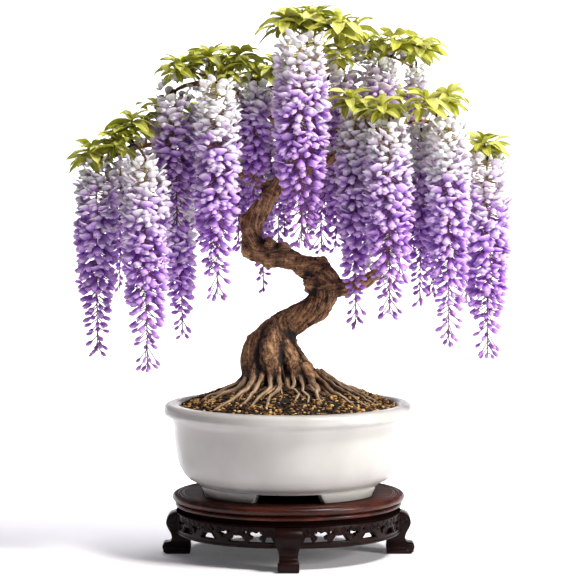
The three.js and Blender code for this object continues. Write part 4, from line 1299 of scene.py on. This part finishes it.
raceme = {
    "count": 34, "slimmest": 15, "fill": 0.97, "drop": 0.965, "lean": 3, "tail": 9.5, "back": 196,
    "stalk": 3, "stalkRadius": 1.45, "pedicel": 0.82, "longestPedicel": 26, "seed": 100,
    "width": [0.86, 1.05, 1.09, 1.09, 1.07, 1.02, 0.92, 0.78, 0.65, 0.52, 0.32],
    "reach": (0.95, 1.2), "floret": [20.5, 24, 26, 26, 25.5, 23.5, 21, 18.5, 16, 15, 13],
    "sizes": (0.84, 1.14), "template": 20, "rowGap": 12.9, "sideGap": 14.4, "goldenAngle": 2.39996,
    "openUntil": 0.26, "someOpenUntil": 0.6, "someOpen": 0.4, "budShare": 0.36, "someBuds": 0.5,
    "budsFrom": 0.84, "budGap": (1.1, 2.2), "openGap": 1.15, "endGap": 9, "swing": 0.22, "roll": 0.6,
    "toneUneven": 0.1,
}
# how far florets hang, in radians: along the raceme, and at its top and its tip
droop = {
    "along": (0.1, 0.55), "uneven": 0.18, "top": (-0.35, 0.1), "topUntil": 0.05, "tip": (0.6, 1.0),
    "tipFrom": 0.86,
}


def makePetalMaterial():
    # Fresh wisteria petal: thin and silky, white by the stalk's top, lilac below, violet in the bud, deeper by
    # its base and with a pale edge, both partly the petal's own colour and partly painted shade and painted
    # highlight
    petal = newMaterial("fresh wisteria petal")
    streak = noiseOf(petal, 5, 3)
    age = variedBy(petal, "age", streak, 0.2)
    deep = rampOf(petal, age, (0.0, "#efece9"), (0.14, "#dfd2e6"), (0.29, "#be93e5"), (0.58, "#a56fd3"),
                  (0.85, "#9a65b6"), (1.0, "#7d528c"))
    edge = rampOf(petal, age, (0.0, "#fefdfb"), (0.14, "#faf5fb"), (0.29, "#ecd5fc"), (0.58, "#dbb4f6"),
                  (0.85, "#c69ddf"), (1.0, "#a782bb"))
    # paler towards the tip: partly the petal's own edge, partly a painted highlight; the deeper base is partly
    # painted shade
    tip = rangeOf(petal, attributeOf(petal, "reach"), 0.35, 0.95, 0.0, 1.0)
    return surface(petal, mixOf(petal, tip, deep, edge), 0.58, bumpOf(petal, streak, 0.25, 0.6), {
        "Specular IOR Level": 0.35, "Subsurface Weight": 0.75, "Subsurface Radius": (0.9, 0.65, 1.0),
        "Subsurface Scale": 7.0 * mm})


def makePedicelMaterial():
    # Fleshy flower stalk: tan green near the twig, mauve brown among the buds, with a fine down
    stalk = newMaterial("mauve brown flower stalk")
    down = noiseOf(stalk, 3, 3)
    colour = rampOf(stalk, variedBy(stalk, "age", down, 0.3), (0.05, "#a5944f"), (0.25, "#9a6f74"),
                    (0.5, "#8e5a83"), (0.75, "#75496a"), (1.0, "#5f3c57"))
    return surface(stalk, colour, 0.65, bumpOf(stalk, down, 0.3, 0.4))


def addPetal(bm, reach, length, width, thick, cup, bend, matrix, sides, rings, base):
    # a flattened drop along X: narrow at its base, cupped across and bent down along its length
    made = bmesh.ops.create_uvsphere(bm, u_segments=sides, v_segments=rings, radius=1,
                                     matrix=Matrix.Rotation(math.pi / 2, 4, "Y"))
    for vert in made["verts"]:
        t = (vert.co.x + 1) / 2
        taper = blendOf(base, 1.12, min(1, t * 1.25)) * (1 - 0.3 * max(0, t - 0.75) * 4)
        y = vert.co.y * width / 2 * taper
        z = vert.co.z * thick / 2 * taper
        z += -cup * (y / (width / 2)) ** 2 - bend * t * t
        vert[reach] = t
        vert.co = matrix @ Vector((t * length, y, z))


# florets 20 long along X: an open one with its banner up, a hooded one and a bud. Each petal has its place
# and tilt, length, width, thickness, cup, bend, sides, rings and how narrow its base is
floretPetals = {
    "open": [((7, 0, -3), -1.2, 16, 18, 2.4, -3, 5, 8, 4, 0.6), ((4, 0, -1), 0, 15, 9, 6, 2, 2, 6, 3, 0.5)],
    "hood": [((0, 0, 3.6), 0, 19, 14.5, 3.2, 5.0, 2.6, 8, 4, 0.42),
             ((1.2, 0, -1.2), 0, 17, 8, 8, 0, 1.5, 6, 3, 0.45)],
    "bud": [((0, 0, 0), 0, 19, 11.5, 10.5, 0, -1.5, 6, 4, 0.35)],
}


def floretTemplate(kind):
    bm = bmesh.new()
    reach = bm.verts.layers.float.new("reach")
    for place, tilt, length, width, thick, cup, bend, sides, rings, base in floretPetals[kind]:
        matrix = Matrix.Translation(place) @ Matrix.Rotation(tilt, 4, "Y")
        addPetal(bm, reach, length, width, thick, cup, bend, matrix, sides, rings, base)
    return meshOf(faceOutwards(bm))


def pedicelTemplate():
    # a thin stalk of unit length along X, with a small cup at its end
    bm = bmesh.new()
    thin = raceme["pedicel"]
    bmesh.ops.create_cone(bm, cap_ends=True, segments=3, radius1=thin, radius2=thin * 1.3, depth=1,
                          matrix=Matrix.Translation((0.5, 0, 0)) @ Matrix.Rotation(math.pi / 2, 4, "Y"))
    return meshOf(bm)


florets = {kind: floretTemplate(kind) for kind in floretPetals}


def droopAt(t, draw):
    # the first florets stand out or up, and the last ones hang
    hang = blendOf(*droop["along"], t) + draw.uniform(-droop["uneven"], droop["uneven"])
    if t < droop["topUntil"]:
        hang = draw.uniform(*droop["top"])
    if t > droop["tipFrom"]:
        hang = draw.uniform(*droop["tip"])
    return hang


def floretKindAt(t, draw):
    kind = "hood"
    if t < raceme["openUntil"] or (t < raceme["someOpenUntil"] and draw.random() < raceme["someOpen"]):
        kind = "open"
    if t > raceme["budsFrom"] or (t > 1 - raceme["budShare"] and draw.random() < raceme["someBuds"]):
        kind = "bud"
    return kind


def addRaceme(bm, age, stems, stemAge, node, draw):
    # florets in a spiral round a stalk that hangs from the node's top; gives back that top and their number
    low, high = (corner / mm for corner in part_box(node))
    middle = (low + high) / 2
    radius = max(raceme["slimmest"], ((high.x - low.x) + (high.y - low.y)) / 4 * raceme["fill"])
    length = high.z - low.z
    top = Vector((middle.x, middle.y, high.z))
    aside = raceme["lean"]
    lean = Vector((draw.uniform(-aside, aside), draw.uniform(-aside, aside), 0))
    rod = []
    for t in (0, 0.2, 0.4, 0.6, 0.8, 1):
        point = top + lean * t ** 2 + Vector((0, 0, -t * length * raceme["drop"]))
        rod.append((*point, raceme["stalkRadius"] * blendOf(1.1, 0.6, t)))
    first = len(stems.verts)
    stems.from_mesh(sweep([smoothPath(rod, 3)], 1))
    stems.verts.ensure_lookup_table()
    for vert in stems.verts[first:]:
        vert[stemAge] = (top.z - vert.co.z) / length
    paleness = draw.uniform(-0.05, 0.05)
    depth = raceme["stalk"]
    spiralled = draw.uniform(0, 6.3)
    count = 0
    while depth < length - raceme["endGap"]:
        t = depth / length
        wide = max(raceme["tail"], radius * stepped(t, raceme["width"]))
        size = min(stepped(t, raceme["floret"]) * draw.uniform(*raceme["sizes"]), wide * 0.95 + 3)
        hang = droopAt(t, draw)
        heading = spiralled + draw.uniform(-raceme["swing"], raceme["swing"])
        flat = math.cos(hang)
        direction = Vector((math.cos(heading) * flat, math.sin(heading) * flat, -math.sin(hang)))
        stem = top + lean * t ** 2 + Vector((0, 0, -depth))
        reach = wide * draw.uniform(*raceme["reach"])
        if direction.y > 0:
            reach = min(reach, (raceme["back"] - stem.y) / direction.y)
        place = stem + direction * min(raceme["longestPedicel"], max(2.0, reach / max(0.4, flat) - size))
        # the last ones stay above the node's lower end
        place.z = max(place.z, low.z + 1 - direction.z * size)
        kind = floretKindAt(t, draw)
        roll = draw.uniform(-raceme["roll"], raceme["roll"])
        tone = t + paleness + draw.uniform(-raceme["toneUneven"], raceme["toneUneven"])
        stamp(bm, florets[kind], aimedAt(place, direction, roll, size / raceme["template"]), age, clamp(tone))
        start = stem + Vector((0, 0, 2))
        span = place + direction * 1.5 - start
        stamp(stems, pedicel, aimedAt(start, span) @ Matrix.Diagonal((span.length, 1, 1, 1)), stemAge, t)
        count += 1
        spiralled += raceme["goldenAngle"]
        spacing = raceme["rowGap"] * raceme["sideGap"] / (wholeTurn * max(4, wide * 0.8))
        if t > 1 - raceme["budShare"]:
            spacing *= blendOf(*raceme["budGap"], (t - 1 + raceme["budShare"]) / raceme["budShare"])
        elif kind == "open":
            spacing *= raceme["openGap"]
        depth += spacing
    return top, count


def makeRacemes():
    twigs = []
    stems = bmesh.new()
    stemAge = stems.verts.layers.float.new("age")
    total = 0
    for number in range(1, raceme["count"] + 1):
        bm, age = emptyLike(florets["hood"], "age")
        node = f"raceme_{number:02d}"
        top, count = addRaceme(bm, age, stems, stemAge, node, random.Random(raceme["seed"] + number))
        twigs.append(twigPath(top, False))
        total += count
        addPiece(f"flowers_{number:02d}", bm, [petal], [node], 180)
    addPiece("raceme_stalks", stems, [makePedicelMaterial()], [], 60)
    print("florets", total)
    return twigs


# the white flowers that sit close along the limbs, above the hanging racemes
spray = {
    "from": 0.3, "step": 3.2, "twigStep": 7.0, "away": (4, 22), "size": (0.68, 0.96), "age": (0, 0.13),
    "seed": 56,
}


def makeSprays(twigs):
    draw = random.Random(spray["seed"])
    bm, age = emptyLike(florets["open"], "age")
    lines = []
    for limb in limbs.values():
        line = smoothPath(limb, 10)
        lines.append((line[int(len(line) * spray["from"]):], spray["step"]))
    lines += [(path, spray["twigStep"]) for path in twigs]
    for points, gap in lines:
        walked = 0
        for here, ahead in zip(points, points[1:]):
            step = Vector(ahead[:3]) - Vector(here[:3])
            along = step.normalized()
            walked += step.length
            while walked > gap:
                walked -= gap
                side = along.orthogonal().normalized()
                out = Matrix.Rotation(draw.uniform(0, wholeTurn), 3, along) @ side
                out.z = out.z * 0.7 - 0.12
                out.normalize()
                place = Vector(ahead[:3]) - along * walked
                if gap == spray["twigStep"] and place.z > points[-1][2] - 4:
                    continue
                place += out * (here[3] + draw.uniform(*spray["away"]) - 8)
                matrix = aimedAt(place, out, draw.uniform(-0.5, 0.5), draw.uniform(*spray["size"]))
                stamp(bm, florets["open"], matrix, age, draw.uniform(*spray["age"]))
    addPiece("limb_blossom", bm, [petal], [], 180)


petal = makePetalMaterial()
pedicel = pedicelTemplate()
racemeTwigs = makeRacemes()
makeSprays(racemeTwigs)
print("racemes done")

# Second-year wood: dark brown, with fine pale breathing pores
twigWood = grainy("dark wisteria twig", 2.5, 4, [(0.35, "#22140d"), (0.55, "#4b3220"), (0.72, "#8a6a49")],
                  0.75, (0.5, 0.5))
addPiece("twigs", sweep(racemeTwigs + shootTwigs, 1), [twigWood], [], 60)
print("twigs done")

triangles = 0
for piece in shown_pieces():
    if piece.type == "MESH":
        piece.data.calc_loop_triangles()
        triangles += len(piece.data.loop_triangles)
print("triangles in all", triangles)
